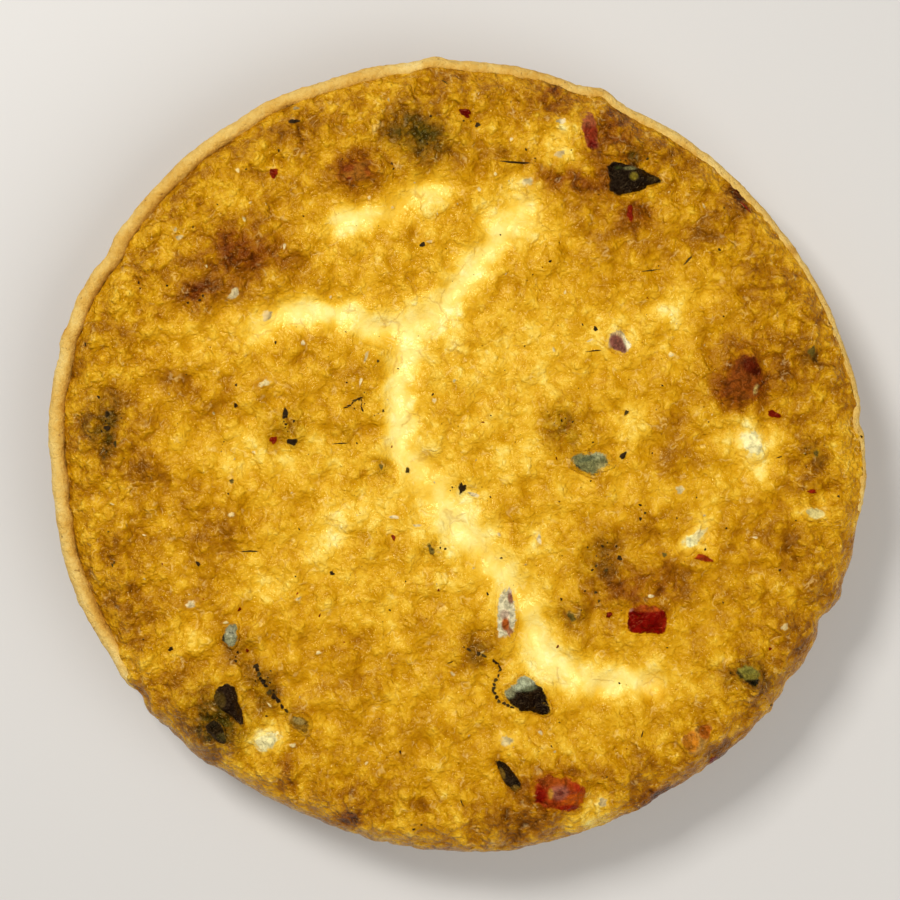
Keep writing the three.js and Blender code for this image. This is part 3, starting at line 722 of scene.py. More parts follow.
def bubble_highlights_and_specks(tree, place):
    """Painted highlights in rings, as round small bubbles, in some cells, and specks of pepper and herb in
    the middles of others.
    """
    cells = add(tree, "ShaderNodeTexVoronoi", {"Scale": per(BUBBLE_CELLS)}, {"Vector": place})
    far, pick = cells.outputs["Distance"], cells.outputs["Color"]
    inner = add(tree, "ShaderNodeMapRange", {**STEP, 1: 0.1, 2: 0.2}, {0: far})
    outer = add(tree, "ShaderNodeMapRange", {**STEP, 1: 0.22, 2: 0.34, 3: 1, 4: 0}, {0: far})
    ring = add(tree, "ShaderNodeMath", MULTIPLY, {0: inner, 1: outer})
    picked = add(tree, "ShaderNodeMapRange", {**STEP, 1: 0.6, 2: 0.64}, {0: pick})
    ring = add(tree, "ShaderNodeMath", MULTIPLY, {0: ring, 1: picked})
    specks = add(tree, "ShaderNodeMapRange", {**STEP, 1: 0.04, 2: 0.1, 3: 1, 4: 0}, {0: far})
    picked = add(tree, "ShaderNodeMapRange", {**STEP, 1: 0.26, 2: 0.3, 3: 1, 4: 0}, {0: pick})
    return ring, add(tree, "ShaderNodeMath", MULTIPLY, {0: specks, 1: picked})


def custard_skin(tree, place):
    """Colour, relief and mottling of baked custard.

    It is gold where it set, brown where it stood up into the heat and pale where it sank, in soft curds with
    creases between them painted darker as shade, with pale strokes that are partly melted cheese and partly
    painted glints, painted highlights in rings as on small bubbles, and specks.
    """
    bent = bent_place(tree, place)
    curds, beads = lumps(tree, bent, CURDS), lumps(tree, bent, BEADS)
    settings = {"Scale": per(MOTTLE), "Detail": 3, "Roughness": 0.6, "Distortion": 0.4}
    mottle = add(tree, "ShaderNodeTexNoise", settings, {"Vector": place})
    grains = add(tree, "ShaderNodeTexNoise", {"Scale": per(GRAINS)}, {"Vector": place})
    craggy = add(tree, "ShaderNodeAttribute", {"attribute_name": "craggy"}).outputs["Fac"]
    strokes, creases = cheese_and_glint_strokes(tree, place, bent), skin_creases(tree, place, bent)
    ring, specks = bubble_highlights_and_specks(tree, place)
    # The tone is paler in the middles of curds and beads and darker in the creases between them, as painted
    # shade there; the mottle and grains vary it at random
    mottle_and_painted_light = add(tree, "ShaderNodeMath", FROM_MIDDLE, {0: beads})
    mottle_and_painted_light = vary(tree, mottle_and_painted_light, [(curds, 1.7), (mottle, 3.2), (grains, 0.8)])
    # The bubbles' rings make the tone paler: painted highlights
    mottle_and_painted_light = add_up(tree, mottle_and_painted_light, [(ring, 0.7)])
    mottle_and_painted_light = add(tree, "ShaderNodeMath", MULTIPLY, {0: mottle_and_painted_light, 1: craggy})
    tone = add(tree, "ShaderNodeAttribute", {"attribute_name": "tone"}).outputs["Fac"]
    tone = add_up(tree, tone, [(mottle_and_painted_light, 0.08), (strokes, 0.05)])
    skin = add(tree, "ShaderNodeValToRGB", {"stops": CUSTARD_STOPS}, {0: tone})
    patchy = add(tree, "ShaderNodeMapRange", {**STEP, 1: 0.35, 2: 0.6, 3: 0.35, 4: 1}, {0: mottle})
    for name, code, most in (("rust", "#8a3604", 0.5), ("olive", "#6a5c0a", 0.45)):
        share = add(tree, "ShaderNodeAttribute", {"attribute_name": name}).outputs["Fac"]
        share = add(tree, "ShaderNodeMath", MULTIPLY, {0: share, 1: patchy})
        skin = blend_to(tree, share, skin, code, most)
    # Pale strokes, partly melted cheese and partly painted glints on the wet skin
    skin = blend_to(tree, strokes, skin, "#f6dc98", 0.2)
    skin = blend_to(tree, creases, skin, "#a06008", 0.35)
    skin = blend_to(tree, specks, skin, "#3c1a04", 0.6)
    relief = add_up(tree, beads, [(curds, 1.6), (mottle, 1.4), (grains, 1.4)])
    return skin, add(tree, "ShaderNodeMath", MULTIPLY, {0: relief, 1: craggy}), mottle


def custard_material():
    """Baked egg custard with melted cheese. The eye gets a moist skin with small warm glints."""
    material, tree, shader = new_material("baked_egg_custard", IOR=1.45, Specular_Tint=(1, 0.86, 0.36, 1))
    place = add(tree, "ShaderNodeTexCoord").outputs["Object"]
    skin, relief, mottle = custard_skin(tree, place)
    rough = add(tree, "ShaderNodeMapRange", {**STEP, 1: 0.35, 2: 0.65, 3: 0.16, 4: 0.34}, {0: mottle})
    dress(tree, shader, skin, rough, relief, 0.3)
    return material


PASTRY_STOPS = [(0.0, "#f0d48c"), (0.3, "#e4bc64"), (0.55, "#d5a244"), (0.8, "#b57a1e"), (1.0, "#84480c")]
CLOUDS, CRUMBS, PASTRY_SPECKS = 9, 1.6, 1.9  # lengths, in millimetres, of the forms of the pastry's skin


def pastry_material():
    """Shortcrust pastry of flour and butter, baked dry.

    The eye gets a pale gold, browner in clouds and specks, matt and finely crumbly.
    """
    material, tree, shader = new_material("shortcrust_pastry", IOR=1.4, Specular_Tint=(1, 0.9, 0.6, 1))
    place = add(tree, "ShaderNodeTexCoord").outputs["Object"]
    settings = {"Scale": per(CLOUDS), "Detail": 4, "Roughness": 0.6, "Distortion": 0.3}
    cloud = add(tree, "ShaderNodeTexNoise", settings, {"Vector": place})
    settings = {"Scale": per(CRUMBS), "Detail": 4, "Roughness": 0.7}
    crumb = add(tree, "ShaderNodeTexNoise", settings, {"Vector": place})
    baked = add(tree, "ShaderNodeAttribute", {"attribute_name": "baked"}).outputs["Fac"]
    baked = vary(tree, baked, [(cloud, 0.8), (crumb, 0.6)])
    skin = add(tree, "ShaderNodeValToRGB", {"stops": PASTRY_STOPS}, {0: baked})
    specks = add(tree, "ShaderNodeTexNoise", {"Scale": per(PASTRY_SPECKS), "Detail": 1}, {"Vector": place})
    specks = add(tree, "ShaderNodeMapRange", {**STEP, 1: 0.7, 2: 0.76}, {0: specks})
    skin = blend_to(tree, specks, skin, "#7a4110", 0.5)
    rough = add(tree, "ShaderNodeMapRange", {**STEP, 1: 0.3, 2: 0.7, 3: 0.6, 4: 0.9}, {0: crumb})
    dress(tree, shader, skin, rough, crumb, 1.4)
    return material


FILM_EDGE = 2.6  # length, in millimetres, of the lobes of the film's ragged edge
FILM_DEPTH = 0.22  # depth, in millimetres, of the film's own relief


def topping_material(name, length, depth, gloss, glint):
    """Cooked flesh or leaf, in its painted colours, run over at the edges by a film of custard.

    length and depth are of its folds, in millimetres, gloss is its least roughness and glint the colour of
    its highlights.
    """
    material, tree, shader = new_material(name, IOR=1.42, Specular_Tint=colour(glint))
    place = add(tree, "ShaderNodeTexCoord").outputs["Object"]
    skin, film, _ = custard_skin(tree, place)
    settings = {"Scale": per(length), "Detail": 3, "Roughness": 0.55, "Distortion": 0.8}
    flesh = add(tree, "ShaderNodeTexNoise", settings, {"Vector": place})
    settings = {"Scale": per(length * 0.35), "Distortion": 0.5}
    fine = add(tree, "ShaderNodeTexNoise", settings, {"Vector": place})
    shade = add(tree, "ShaderNodeMapRange", {**STEP, 1: 0.3, 2: 0.7, 3: 0.45, 4: 1.1}, {0: flesh})
    shade = vary(tree, shade, [(fine, 0.6)])
    tint = add(tree, "ShaderNodeAttribute", {"attribute_name": "tint"}).outputs["Color"]
    tint = add(tree, "ShaderNodeVectorMath", {"operation": "SCALE"}, {0: tint, "Scale": shade})
    settings = {"Scale": per(FILM_EDGE), "Detail": 4, "Roughness": 0.65, "Distortion": 0.8}
    lobes = add(tree, "ShaderNodeTexNoise", settings, {"Vector": place})
    cover = add(tree, "ShaderNodeAttribute", {"attribute_name": "cover"}).outputs["Fac"]
    cover = vary(tree, cover, [(lobes, 2.4)])
    cover = add(tree, "ShaderNodeMapRange", {**STEP, 1: 0.2, 2: 0.8}, {0: cover})
    mixed = add(tree, "ShaderNodeMix", {"data_type": "RGBA"}, {0: cover, 6: tint, 7: skin}).outputs[2]
    rough = add(tree, "ShaderNodeMapRange", {**STEP, 1: 0.3, 2: 0.7, 3: gloss, 4: gloss + 0.2}, {0: flesh})
    folds = add(tree, "ShaderNodeMath", MULTIPLY, {0: flesh, 1: fine})
    dress(tree, shader, mixed, rough, add_up(tree, folds, [(film, FILM_DEPTH / depth)]), depth)
    return material


MATERIALS = {
    "crust": pastry_material(),
    "filling": custard_material(),
    # Skin and flesh of a roasted tomato: deep red, glassy and wet
    "tomato": topping_material("roast_tomato", 3.0, 0.5, 0.16, "#ff9c60"),
    # Roasted sweet pepper: orange-brown flesh
    "pepper": topping_material("roast_pepper", 2.6, 0.6, 0.22, "#ffd090"),
    # Cooked ham: brown-pink strands with paler fat
    "ham": topping_material("cooked_ham", 1.8, 0.6, 0.3, "#ffd8a0"),
    # Browned bacon: dark red-brown lean
    "bacon": topping_material("browned_bacon", 2.2, 0.7, 0.3, "#ffb070"),
    # Soft cheese, half melted: pale, smooth and dense
    "cheese": topping_material("soft_cheese", 4.0, 0.25, 0.4, "#ffe8b0"),
    # Wilted spinach: near-black where charred, grey-green where the leaf still shows, creased and wet
    "leaf": topping_material("wilted_spinach", 1.6, 1.2, 0.2, "#ffd090"),
    # Chopped herbs baked dry: brown-black, matt
    "herb": topping_material("chopped_herb", 1.0, 0.3, 0.55, "#ffd8a0"),
}


# ---- The filling ----

GRID_CELLS = 270
GRID_ENDS = 0.3  # the grid ends at this share of the edge's rounding
BEND_LOOPS = 7
UNDER_SHARES = (1, 0.75, 0.5, 0.25, 0)
FILLING_LOOPS = BEND_LOOPS + len(UNDER_SHARES) + 2
FLOOR_INSET, FLOOR_CLEAR = 1, 0.3  # the filling's underside lies this far inside the wall and above the base
RELIEF_LOOPS = 3  # the relief runs out over these loops, below the edge


def filling_points(share, angle, loop):
    """Places of the filling's points, without the fine relief."""
    radius, foot, width, power = edge_at(angle)
    out = share * (radius - GRID_ENDS * width)
    start = math.acos(1 - GRID_ENDS)
    bend = start * (1 - np.clip(loop, 0, BEND_LOOPS) / BEND_LOOPS)
    out = np.where(loop > 0, radius - width * (1 - np.cos(bend)), out)
    x, y = place_at(angle, out)
    rise = open_level(x, y) - foot
    height = top_height(x, y) + bed_depth(x, y)
    height = np.where(loop > 0, foot + rise * np.maximum(np.sin(bend), 0) ** (2 * power), height)
    for step, part in enumerate(UNDER_SHARES, BEND_LOOPS + 1):
        under, depth = rim_point(angle, reach_at(angle) * part, FIT)
        out = np.where(loop == step, under, out)
        height = np.where(loop == step, depth, height)
    out = np.where(loop == FILLING_LOOPS - 1, foot_radius(angle) - WALL - FLOOR_INSET, out)
    out = np.where(loop == FILLING_LOOPS, 0, out)
    height = np.where(loop >= FILLING_LOOPS - 1, BASE + FLOOR_CLEAR, height)
    return np.stack([*place_at(angle, out), height], 1)


def make_filling():
    piece, share, angle, loop = round_grid("egg_filling", GRID_CELLS, FILLING_LOOPS)
    points = filling_points(share, angle, loop)
    place_points(piece, points)
    relief = crumb_relief(points)
    shown = 1 - smooth(loop, BEND_LOOPS, BEND_LOOPS + RELIEF_LOOPS)
    place_points(piece, points + normals_of(piece) * (relief * shown)[:, None])
    paint_baked(piece, points, relief)
    finish_piece(piece, "filling", MATERIALS["filling"])


# ---- The pastry ----

CRUST_STEPS = 720
FLOOR_LOOPS = 3
RIM_LOOPS = 16
WALL_LOOPS = 14
CRUST_LOOPS = FLOOR_LOOPS + RIM_LOOPS + WALL_LOOPS + 2
FOOT_CUT = 1.5  # how far the foot's edge is cut off
CRUMBS_FROM, CRUMBS_TO = 0.5, 4  # heights over which the crumbs come in, above the foot

WALL_BROWN, RIM_BROWN, INNER_BROWN = 0.5, 0.34, 0.3  # the last is added towards the filling
RIM_FROM, RIM_TO = 20, 30  # heights over which the wall's brown turns to the rim's
INNER_FROM, INNER_TO = 0.1, 0.7  # how far across the rim the inner brown runs out

# (angle, how far across the rim, radius, how much browner) of burnt spots
RIM_SPOTS = [(162, 0.95, 1.3, 0.8), (31.5, 0.7, 1.7, 0.45)]
SPOTS_FROM, SPOTS_TO = RIM_HEIGHT - 4, RIM_HEIGHT - 2  # heights over which they come in


def crust_points(share, angle, loop):
    """Places of the pastry's points, without the crumbs, and how far across the rim each of them lies."""
    foot = foot_radius(angle)
    inside = foot - WALL
    # The floor, and up the wall's inner side
    top_in, high_in = rim_point(angle, 0, 0)
    up = np.clip(loop / FLOOR_LOOPS, 0, 1)
    out = np.where(loop > 0, mix(inside, top_in, up), inside * share)
    height = np.where(loop > 0, mix(BASE, high_in, up), BASE)
    # Over the rim
    along = np.clip((loop - FLOOR_LOOPS) / RIM_LOOPS, 0, 1)
    rim_out, rim_high = rim_point(angle, along, 0)
    out = np.where(loop > FLOOR_LOOPS, rim_out, out)
    height = np.where(loop > FLOOR_LOOPS, rim_high, height)
    # Down the wall's outer side
    last_out, last_high = rim_point(angle, 1, 0)
    down = np.clip((loop - FLOOR_LOOPS - RIM_LOOPS) / WALL_LOOPS, 0, 1)
    out = np.where(down > 0, mix(last_out, foot, down), out)
    height = np.where(down > 0, mix(last_high, FOOT_CUT, down), height)
    # The underside
    out = np.where(loop == CRUST_LOOPS - 1, foot - FOOT_CUT, out)
    height = np.where(loop >= CRUST_LOOPS - 1, 0, height)
    out = np.where(loop == CRUST_LOOPS, 0, out)
    return np.stack([*place_at(angle, out), height], 1), along


def pastry_brown(points, angle, along):
    """How brown the pastry is: more on the wall than on the rim, towards the filling and in spots."""
    high = smooth(points[:, 2], RIM_FROM, RIM_TO)
    baked = mix(WALL_BROWN, RIM_BROWN, high)
    baked = baked + 0.16 * noise(points, 30, 24) * (1 - high) + 0.14 * noise(points, 14, 25)
    baked += INNER_BROWN * (1 - smooth(along, INNER_FROM, INNER_TO)) * high
    near_top = smooth(points[:, 2], SPOTS_FROM, SPOTS_TO)
    for at_angle, at_along, wide, most in RIM_SPOTS:
        off = np.radians((angle - at_angle + 180) % 360 - 180) * RIM_RADIUS
        baked += most * bell(off, wide) * bell((along - at_along) * WALL, wide) * near_top
    return baked


def make_crust():
    settings = {"vertices": CRUST_STEPS, "radius": 1, "fill_type": "TRIFAN"}
    piece = start_piece("pastry_shell", bpy.ops.mesh.primitive_circle_add, **settings)
    draw_down(piece, CRUST_LOOPS)
    a, b, down = points_of(piece).T
    loop = np.round(-down).astype(int)
    angle = np.degrees(np.arctan2(b, a))
    points, along = crust_points(np.hypot(a, b), angle, loop)
    place_points(piece, points)
    crumbs = 0.45 * noise(points, 8, 21) + 0.5 * folded(points, 3, 22)
    crumbs += 0.1 * noise(points, 1.4, 23)
    shown = smooth(points[:, 2], CRUMBS_FROM, CRUMBS_TO) * (loop >= FLOOR_LOOPS)
    place_points(piece, points + normals_of(piece) * (crumbs * shown)[:, None])
    paint(piece, "baked", pastry_brown(points, angle, along))
    finish_piece(piece, "crust", MATERIALS["crust"])


# ---- Toppings ----

SLAB_CELLS = 36
SLAB_LOOPS = 5
SKIRT = 1.13  # a topping's top runs on this far, down under the egg round it
SKIRT_FROM, SKIRT_DROP = 0.97, 1.5
SLAB_GRID = 0.985  # the grid ends at this share of the skirt, and the loops below it at these
SLAB_OUT = np.array([0, 0.995, 1.0, 0.96, 0.75, 0])
SLAB_DROP = np.array([0, 0.2, 0.6, 1.1, 1.4, 1.4])
CRUMBS_SHOW = 0.4  # the custard's relief comes in from this share of the outline

# How ragged its outline is, how far and how steeply it falls to it, and its wrinkles: (height, length, seed)
LEAF_FORM = (0.08, 0.75, 3, [(0.5, 2.8, 32), (0.25, 1.3, 33)])
FLESH_FORM = (0.04, 0.95, 2, [(0.25, 3.4, 32), (0.14, 1.6, 33)])
LEAF_CURL = 0.3

SPOT_FROM, SPOT_TO = 0.2, 0.6  # a spot's edge lies between these shares of its patch
FILM_LEAST, FILM_RANGE = -0.15, 1.3

# Base colour, film of custard from this share out to that, and spots: (x, y, long, wide, turn, colour, share)
LOOKS = {
    "tomato_a": ("#760402", 0.7, 1.0, [
        (0, 3.7, 12, 2.6, 0, "#b04a12", 1), (5, -1, 3.5, 5, 0, "#8e1c05", 0.6),
        # the pale pink spot at the upper left is a painted highlight
        (-5, 3.5, 1.7, 2.2, 0, "#c8907a", 0.8)]),
    "tomato_b": ("#96340a", 0.6, 1.0, [
        (-6, -0.5, 5.5, 5.5, 0, "#7c0c03", 1), (0.3, 0.5, 5.5, 5, 0, "#9a5a44", 0.8),
        (0.6, 0.2, 1.8, 1.8, 0, "#74291a", 0.8), (-2.2, 0, 1.6, 3.6, 0, "#ad7c22", 0.8),
        (4.5, -2.5, 8, 5, 25, "#a84806", 1), (2.5, -4.5, 7, 2.5, 5, "#8c1604", 0.9),
        (6.5, 2.5, 4, 4, -35, "#94240a", 0.9), (-1, 4, 9, 4, 0, "#a04a10", 0.7)]),
    "pepper": ("#cc9238", 0.55, 1.0, [
        (-2, -0.7, 5, 7, 0, "#c87812", 1), (2.5, 2, 4.5, 4.5, 0, "#b85e0c", 1),
        (-5.5, -0.5, 2, 7, -10, "#ead6a0", 0.9)]),
    "ham_a": ("#9a4a22", 0.45, 0.95, [
        (0.5, -4.5, 3, 6.5, 0, "#74120a", 1), (0, 0.3, 4.5, 5, 0, "#8c2a12", 0.9),
        (-0.5, 4, 7, 5, 0, "#b0603a", 0.4)]),
    "ham_b": ("#d4b47a", 0.5, 1.0, [
        (-0.7, -0.5, 6.5, 4.5, -50, "#8a5040", 1), (1, -2.5, 2, 2.5, -40, "#7e4a3c", 0.8),
        (2.5, 1, 3, 7, 15, "#f0e2b0", 1)]),
    "ham_c": ("#dccfa2", 0.5, 0.98, [
        (1.3, 5, 2, 4, 0, "#8a5a44", 1), (1.5, 7.5, 2, 3, 0, "#cdb6a4", 0.8),
        (-0.5, 0, 3, 3, 0, "#d4b292", 0.8), (-0.3, -2.8, 2.4, 4, 0, "#aa5014", 1),
        (1.3, -5.5, 2, 4.5, 30, "#a8501a", 0.8)]),
    "bacon_a": ("#7e3a08", 0.5, 1.0, [
        (3, 4, 8, 5.5, -20, "#571402", 1), (4.5, 7, 6, 4, 0, "#7a3408", 0.8),
        (-3, -2, 8, 7, 0, "#84400a", 0.8), (-5, 1.8, 3, 1.5, 0, "#4a3a10", 0.8),
        (-0.5, -5, 8, 4, -5, "#8a460a", 0.8), (4, -3.5, 2.5, 4, 0, "#c8b060", 0.8)]),
    "bacon_b": ("#9a5c14", 0.4, 0.95, [
        (-3, 1.2, 4.5, 3, 0, "#86340a", 0.8), (4, 0.5, 4, 4, 0, "#8e400a", 0.8),
        (-2.2, -2.3, 2, 1.5, 0, "#6e2004", 0.9), (-2, -4, 4, 2.5, 0, "#8e3c0a", 0.7)]),
    "cheese_a": ("#faeaa4", 0.15, 0.95, []),
    "cheese_b": ("#f9e8a0", 0.15, 0.95, []),
    "cheese_c": ("#f6e69c", 0.1, 0.9, [
        (-3, -2.5, 5, 5, 0, "#f9efb0", 0.8), (1.5, 2.5, 4, 8, -10, "#e8d490", 0.7)]),
    "cheese_d": ("#f4dc86", 0.3, 0.9, []),
    "leaf_a": ("#140a05", 0.85, 1.03, [
        (0.5, 0.8, 2.3, 2.5, 0, "#756414", 1), (6, 0, 3, 1.5, 0, "#40300e", 0.7),
        # the pale grey-olive strip along the top edge is a painted highlight
        (-0.5, 3.2, 4, 1.2, 0, "#8a8450", 0.7), (-4, 3.3, 2, 1, 0, "#3c4418", 0.7)]),
    "leaf_b": ("#160b06", 0.75, 1.02, [
        (-2.5, 4.5, 10, 5, 10, "#b4b890", 1), (-6, 1.5, 4, 4, 0, "#96946a", 0.9),
        (0, 2.5, 5, 1.5, 10, "#6e7450", 0.8)]),
    "leaf_c": ("#807e4c", 0.4, 1.0, [
        (3, 3, 7, 4, 20, "#b4b480", 0.9), (-0.5, 1, 6, 1.5, 15, "#5a6240", 0.8),
        (-4.5, -1, 5, 1.3, -20, "#36442e", 0.9), (4, -1.5, 4, 3, 0, "#a89c60", 0.8),
        (5.3, -2.7, 1.5, 2, 0, "#20180a", 0.9), (3, -3.7, 4.5, 1, 0, "#20180a", 1)]),
    "leaf_d": ("#20120a", 0.8, 1.02, [(-3.2, 1, 4, 5, 0, "#5c4616", 0.7)]),
    "leaf_e": ("#2c1e0c", 0.7, 1.02, [
        (-0.8, 2.5, 3, 3.5, 0, "#1a1408", 0.8), (2, -1.5, 4, 2.5, 0, "#50461a", 0.6)]),
    "leaf_f": ("#94926a", 0.5, 1.0, [
        (-2.5, -0.5, 1.5, 5, 10, "#2a2a18", 1), (2.7, 0, 1.3, 1.5, 0, "#5a4418", 0.8),
        (0, 0.8, 3, 3, 0, "#aeac88", 0.8)]),
    "leaf_g": ("#906614", 0.4, 0.95, [
        (-1.2, -1.8, 1.3, 1.3, 0, "#2a1606", 1), (3.8, 0, 1, 4, 0, "#5e400e", 0.8),
        # the pale spot near the middle is painted glints
        (-2.5, 2.5, 5, 1.2, -25, "#40300c", 0.8), (-0.5, 0.8, 4, 2, -20, "#c0a860", 0.5)]),
    "leaf_h": ("#1e140a", 0.8, 1.02, [
        (-1.8, 0.8, 1.6, 3.5, 20, "#8a661c", 0.7), (2.2, -3.5, 2.5, 2, -20, "#8a661c", 0.7)]),
    "leaf_i": ("#8a7c28", 0.3, 0.95, [
        (1, -2.3, 8.5, 2.5, 5, "#1c1808", 1), (-3, 0, 2, 4.5, 40, "#322c0e", 0.9),
        (4, -1.5, 3, 1.5, 20, "#2c260c", 0.9), (0, 2, 6, 3.5, 0, "#8c8636", 0.6)]),
}


def film_at(out, film_from, film_to):
    """How much custard covers a piece: none within the first share of its outline, all beyond the second."""
    return FILM_LEAST + FILM_RANGE * smooth(out, film_from, film_to)


def raised(points, rise):
    """The points, moved up by a rise."""
    return points + np.stack([0 * rise, 0 * rise, rise], 1)


def topping_points(topping, share, angle, loop):
    """The filling's top at a topping's points, how far they rise from it, and how far out they lie."""
    turn = np.radians(angle)
    leaf = topping["kind"] == "leaf"
    ragged, fall, power, wrinkles = LEAF_FORM if leaf else FLESH_FORM
    along, across = outline_of(topping, turn)
    around = np.stack([np.cos(turn), np.sin(turn), np.full(len(turn), topping["x"])], 1)
    out = SKIRT * np.where(loop == 0, share * SLAB_GRID, SLAB_OUT[loop])
    far = out * (1 + ragged * noise(around, 0.3, 31))
    c, s = math.cos(math.radians(topping["turn"])), math.sin(math.radians(topping["turn"]))
    x = topping["x"] + far * (along * c - across * s)
    y = topping["y"] + far * (along * s + across * c)
    flat = np.stack([x, y, top_height(x, y)], 1)
    rise = topping["stand"] * (1 - fall * out ** power) - SKIRT_DROP * smooth(out, SKIRT_FROM, SKIRT)
    rise = rise + crumb_relief(flat) * smooth(out, CRUMBS_SHOW, 1)
    if leaf:
        rise = rise + LEAF_CURL * out * np.sin(2 * turn + topping["x"])
    for height, length, seed in wrinkles:
        rise = rise + height * noise(flat, length, seed)
    return flat, rise - SLAB_DROP[loop], out


def topping_tint(topping, x, y):
    """Colour of a topping at each point: its own, with its spots over it."""
    base, _, _, spots = LOOKS[topping["name"]]
    tint = np.tile(np.array(colour(base)), (len(x), 1))
    for *patch, code, most in spots:
        spot = smooth(patch_at(x - topping["x"], y - topping["y"], *patch), SPOT_FROM, SPOT_TO)
        tint = mix(tint, np.array(colour(code)), (most * spot)[:, None])
    return tint


def make_topping(topping):
    name, kind = topping["name"], topping["kind"]
    _, film_from, film_to, _ = LOOKS[name]
    piece, share, angle, loop = round_grid(name + "_piece", SLAB_CELLS, SLAB_LOOPS)
    flat, rise, out = topping_points(topping, share, angle, loop)
    place_points(piece, raised(flat, rise))
    paint(piece, "tint", topping_tint(topping, flat[:, 0], flat[:, 1]))
    paint(piece, "cover", film_at(out, film_from, film_to))
    paint_baked(piece, flat)
    finish_piece(piece, name, MATERIALS[kind])


# ---- Small bits set flush in the top ----

# kind of bit: (material's name, slot, lift, film from, film to, colours)
BIT_KINDS = {
    "red": ("tomato", "tomato", 0.35, 0.5, 1.0, ["#7c1606", "#9a300a", "#6c0c04"]),
    "herb": ("herb", "leaf", 0.25, 0.35, 1.0, ["#1e1208", "#34240c", "#46360f", "#281808"]),
    "moss": ("herb", "leaf", 0.2, 0.0, 0.8, ["#6e5a1c"]),
    "onion": ("cheese", "cheese", 0.3, 0.1, 0.8, ["#e0c684", "#d6b878", "#e4cc94"]),
}

# (x, y, long, wide, turn) of the bits that can be told apart
BITS = {
    "red": [
        (2, 100.5, 5.5, 3, -25), (71.5, -29.5, 6.5, 2.5, -8), (50, 71, 6, 2.5, 95),
        (-19, -23.5, 2.5, 1.5, 95), (92, 12.5, 5, 2.5, -30), (103, -10, 4, 1.5, -3), (44, -46, 2.5, 2, 0),
        (84, 73, 5.7, 0.7, -45),
    ],
    "herb": [
        (-48.5, 4.5, 5.5, 2.5, 0), (-50.5, 12.5, 4, 3, 100), (-102.5, 8.5, 3, 2.5, 0),
        (-102.5, 12.5, 3, 2, 60), (-100, 4, 3, 1.5, 80), (1, -9, 4.5, 3, 65), (48, 0.5, 4, 2, 35),
        (-48, 98, 4.5, 2, 15),
    ],
    "moss": [(103, 31, 6, 4, 80), (104.5, 1, 6, 4, 110), (33, -46.5, 7, 5, -60), (-8, -27, 9, 3.5, -70)],
    "onion": [
        (95, -49.5, 5, 3.5, 60), (-47.5, 102, 4.5, 2.5, 10), (4.5, -11, 6, 2.5, -15), (-19, -17.5, 6, 2, -10),
        (-12, -20, 5, 2, -5), (64.5, -9.5, 6, 4.5, -60), (-78, -43, 8, 4, 5), (-56.5, 21.5, 7, 4, 25),
        (14, -83, 9.5, 5, 5), (30, 98, 6, 3.5, 10), (29.5, 88.5, 8, 3.5, 15), (20.5, 80.5, 7, 5, 40),
        (-65.5, 47.5, 8, 5, 45), (-56, 41.5, 7, 5, 35), (-27, 29, 7, 2, 75), (-28.5, 22, 5, 1.5, 80),
        (42, -101, 6, 4.5, 0), (23.5, -24, 6, 3.5, 85), (56, -40.5, 4, 2, 10), (-81.5, 64, 4, 3, 5),
        (6, 78, 2.5, 2.5, 0), (-68, -48.3, 3, 1.8, 0), (-1.3, 22.3, 2, 2, 0), (-7, 16.5, 2, 3, 0),
    ],
}

# Dots of pepper and charred herb, and red ones of tomato skin: (kind, width): their places
DOTS = {
    ("herb", 1.3): [
        (-48, 10.5), (-105, 17.5), (-79, 45), (-74.5, 47), (-53.5, 33.5), (-65, 21), (-29, 17), (-22, 13.5),
        (-23.5, 28), (-101, -31.5), (-64.5, -57), (-65, -59.5), (-56, -75.5), (-17, -86), (12.5, -29.5),
        (8.5, -40), (30, -41.5), (42, -26), (46, -26), (43, -33), (39, -33), (40, -39.5), (41, -42),
        (72, -27), (53, -14), (53, -18), (111, -11.5), (118, 6), (92, -73), (76, 60.5),
    ],
    ("herb", 2.2): [
        (-65, 15), (-10.5, 62), (5.5, 97), (-15, -4), (-76, -31), (-84, -56), (-37, -34), (40, 37.5),
        (49, 13), (47, -29.5),
    ],
    ("herb", 1.0): [(-62, 84), (-52.5, 89.5), (57, -43.5), (98.5, -18.5), (-19, 84), (-7.5, 18.3)],
    ("moss", 3.5): [(-22.5, -3), (-66, -7), (60, -28.5)],
    ("red", 1.5): [(91, -56), (-64, -44.5)],
    ("red", 3.5): [(-54, 5), (-54, 83), (75, -89)],
}

# (x, y, long, wide, turn) of thin curled shreds of leaf
SHREDS = [
    (16.5, 86, 11, 1, -3), (-4, 109.5, 3, 0.7, -35), (67, 57.5, 6, 0.8, 45), (56, 54.5, 10, 0.5, 8),
    (39.5, 31, 7, 0.5, 5), (-61, -27.5, 6, 0.8, 0), (53.5, -81, 3, 0.7, 75), (-2.5, -60, 2.5, 0.6, 25),
    (1, -101, 2.5, 0.6, -65), (-34.5, 4, 7, 0.5, 5), (-109, 33, 2, 0.8, 90), (93.7, 0, 2.5, 0.6, 20),
]

# (x, y, radius) of places where chopped herbs lie close
HERB_CLUSTERS = [
    (-50, 11, 4), (-102, 9, 6), (42, -30, 8), (-65, -58, 2.5), (31, 10, 6), (-29, 15, 4), (-8, -26, 4),
    (-23, -2, 3), (-75, 47, 4), (-101, -31, 2), (104, 0, 4), (-12, 92, 8), (33, -46, 4), (-58, -64, 4),
    (51, 86, 4), (0, -9, 3), (84, -62, 6), (3, 98, 4), (53, -16, 3), (20, 87, 5), (-93, 52, 7),
]
CLUSTER_CLOSE = 2.4  # flecks for each millimetre of a cluster's radius
HERB_SPREAD = 150
FLECKS = {"onion": (70, 1.2, 2.8), "red": (16, 0.6, 1.2)}  # how many, least length, how much longer at most

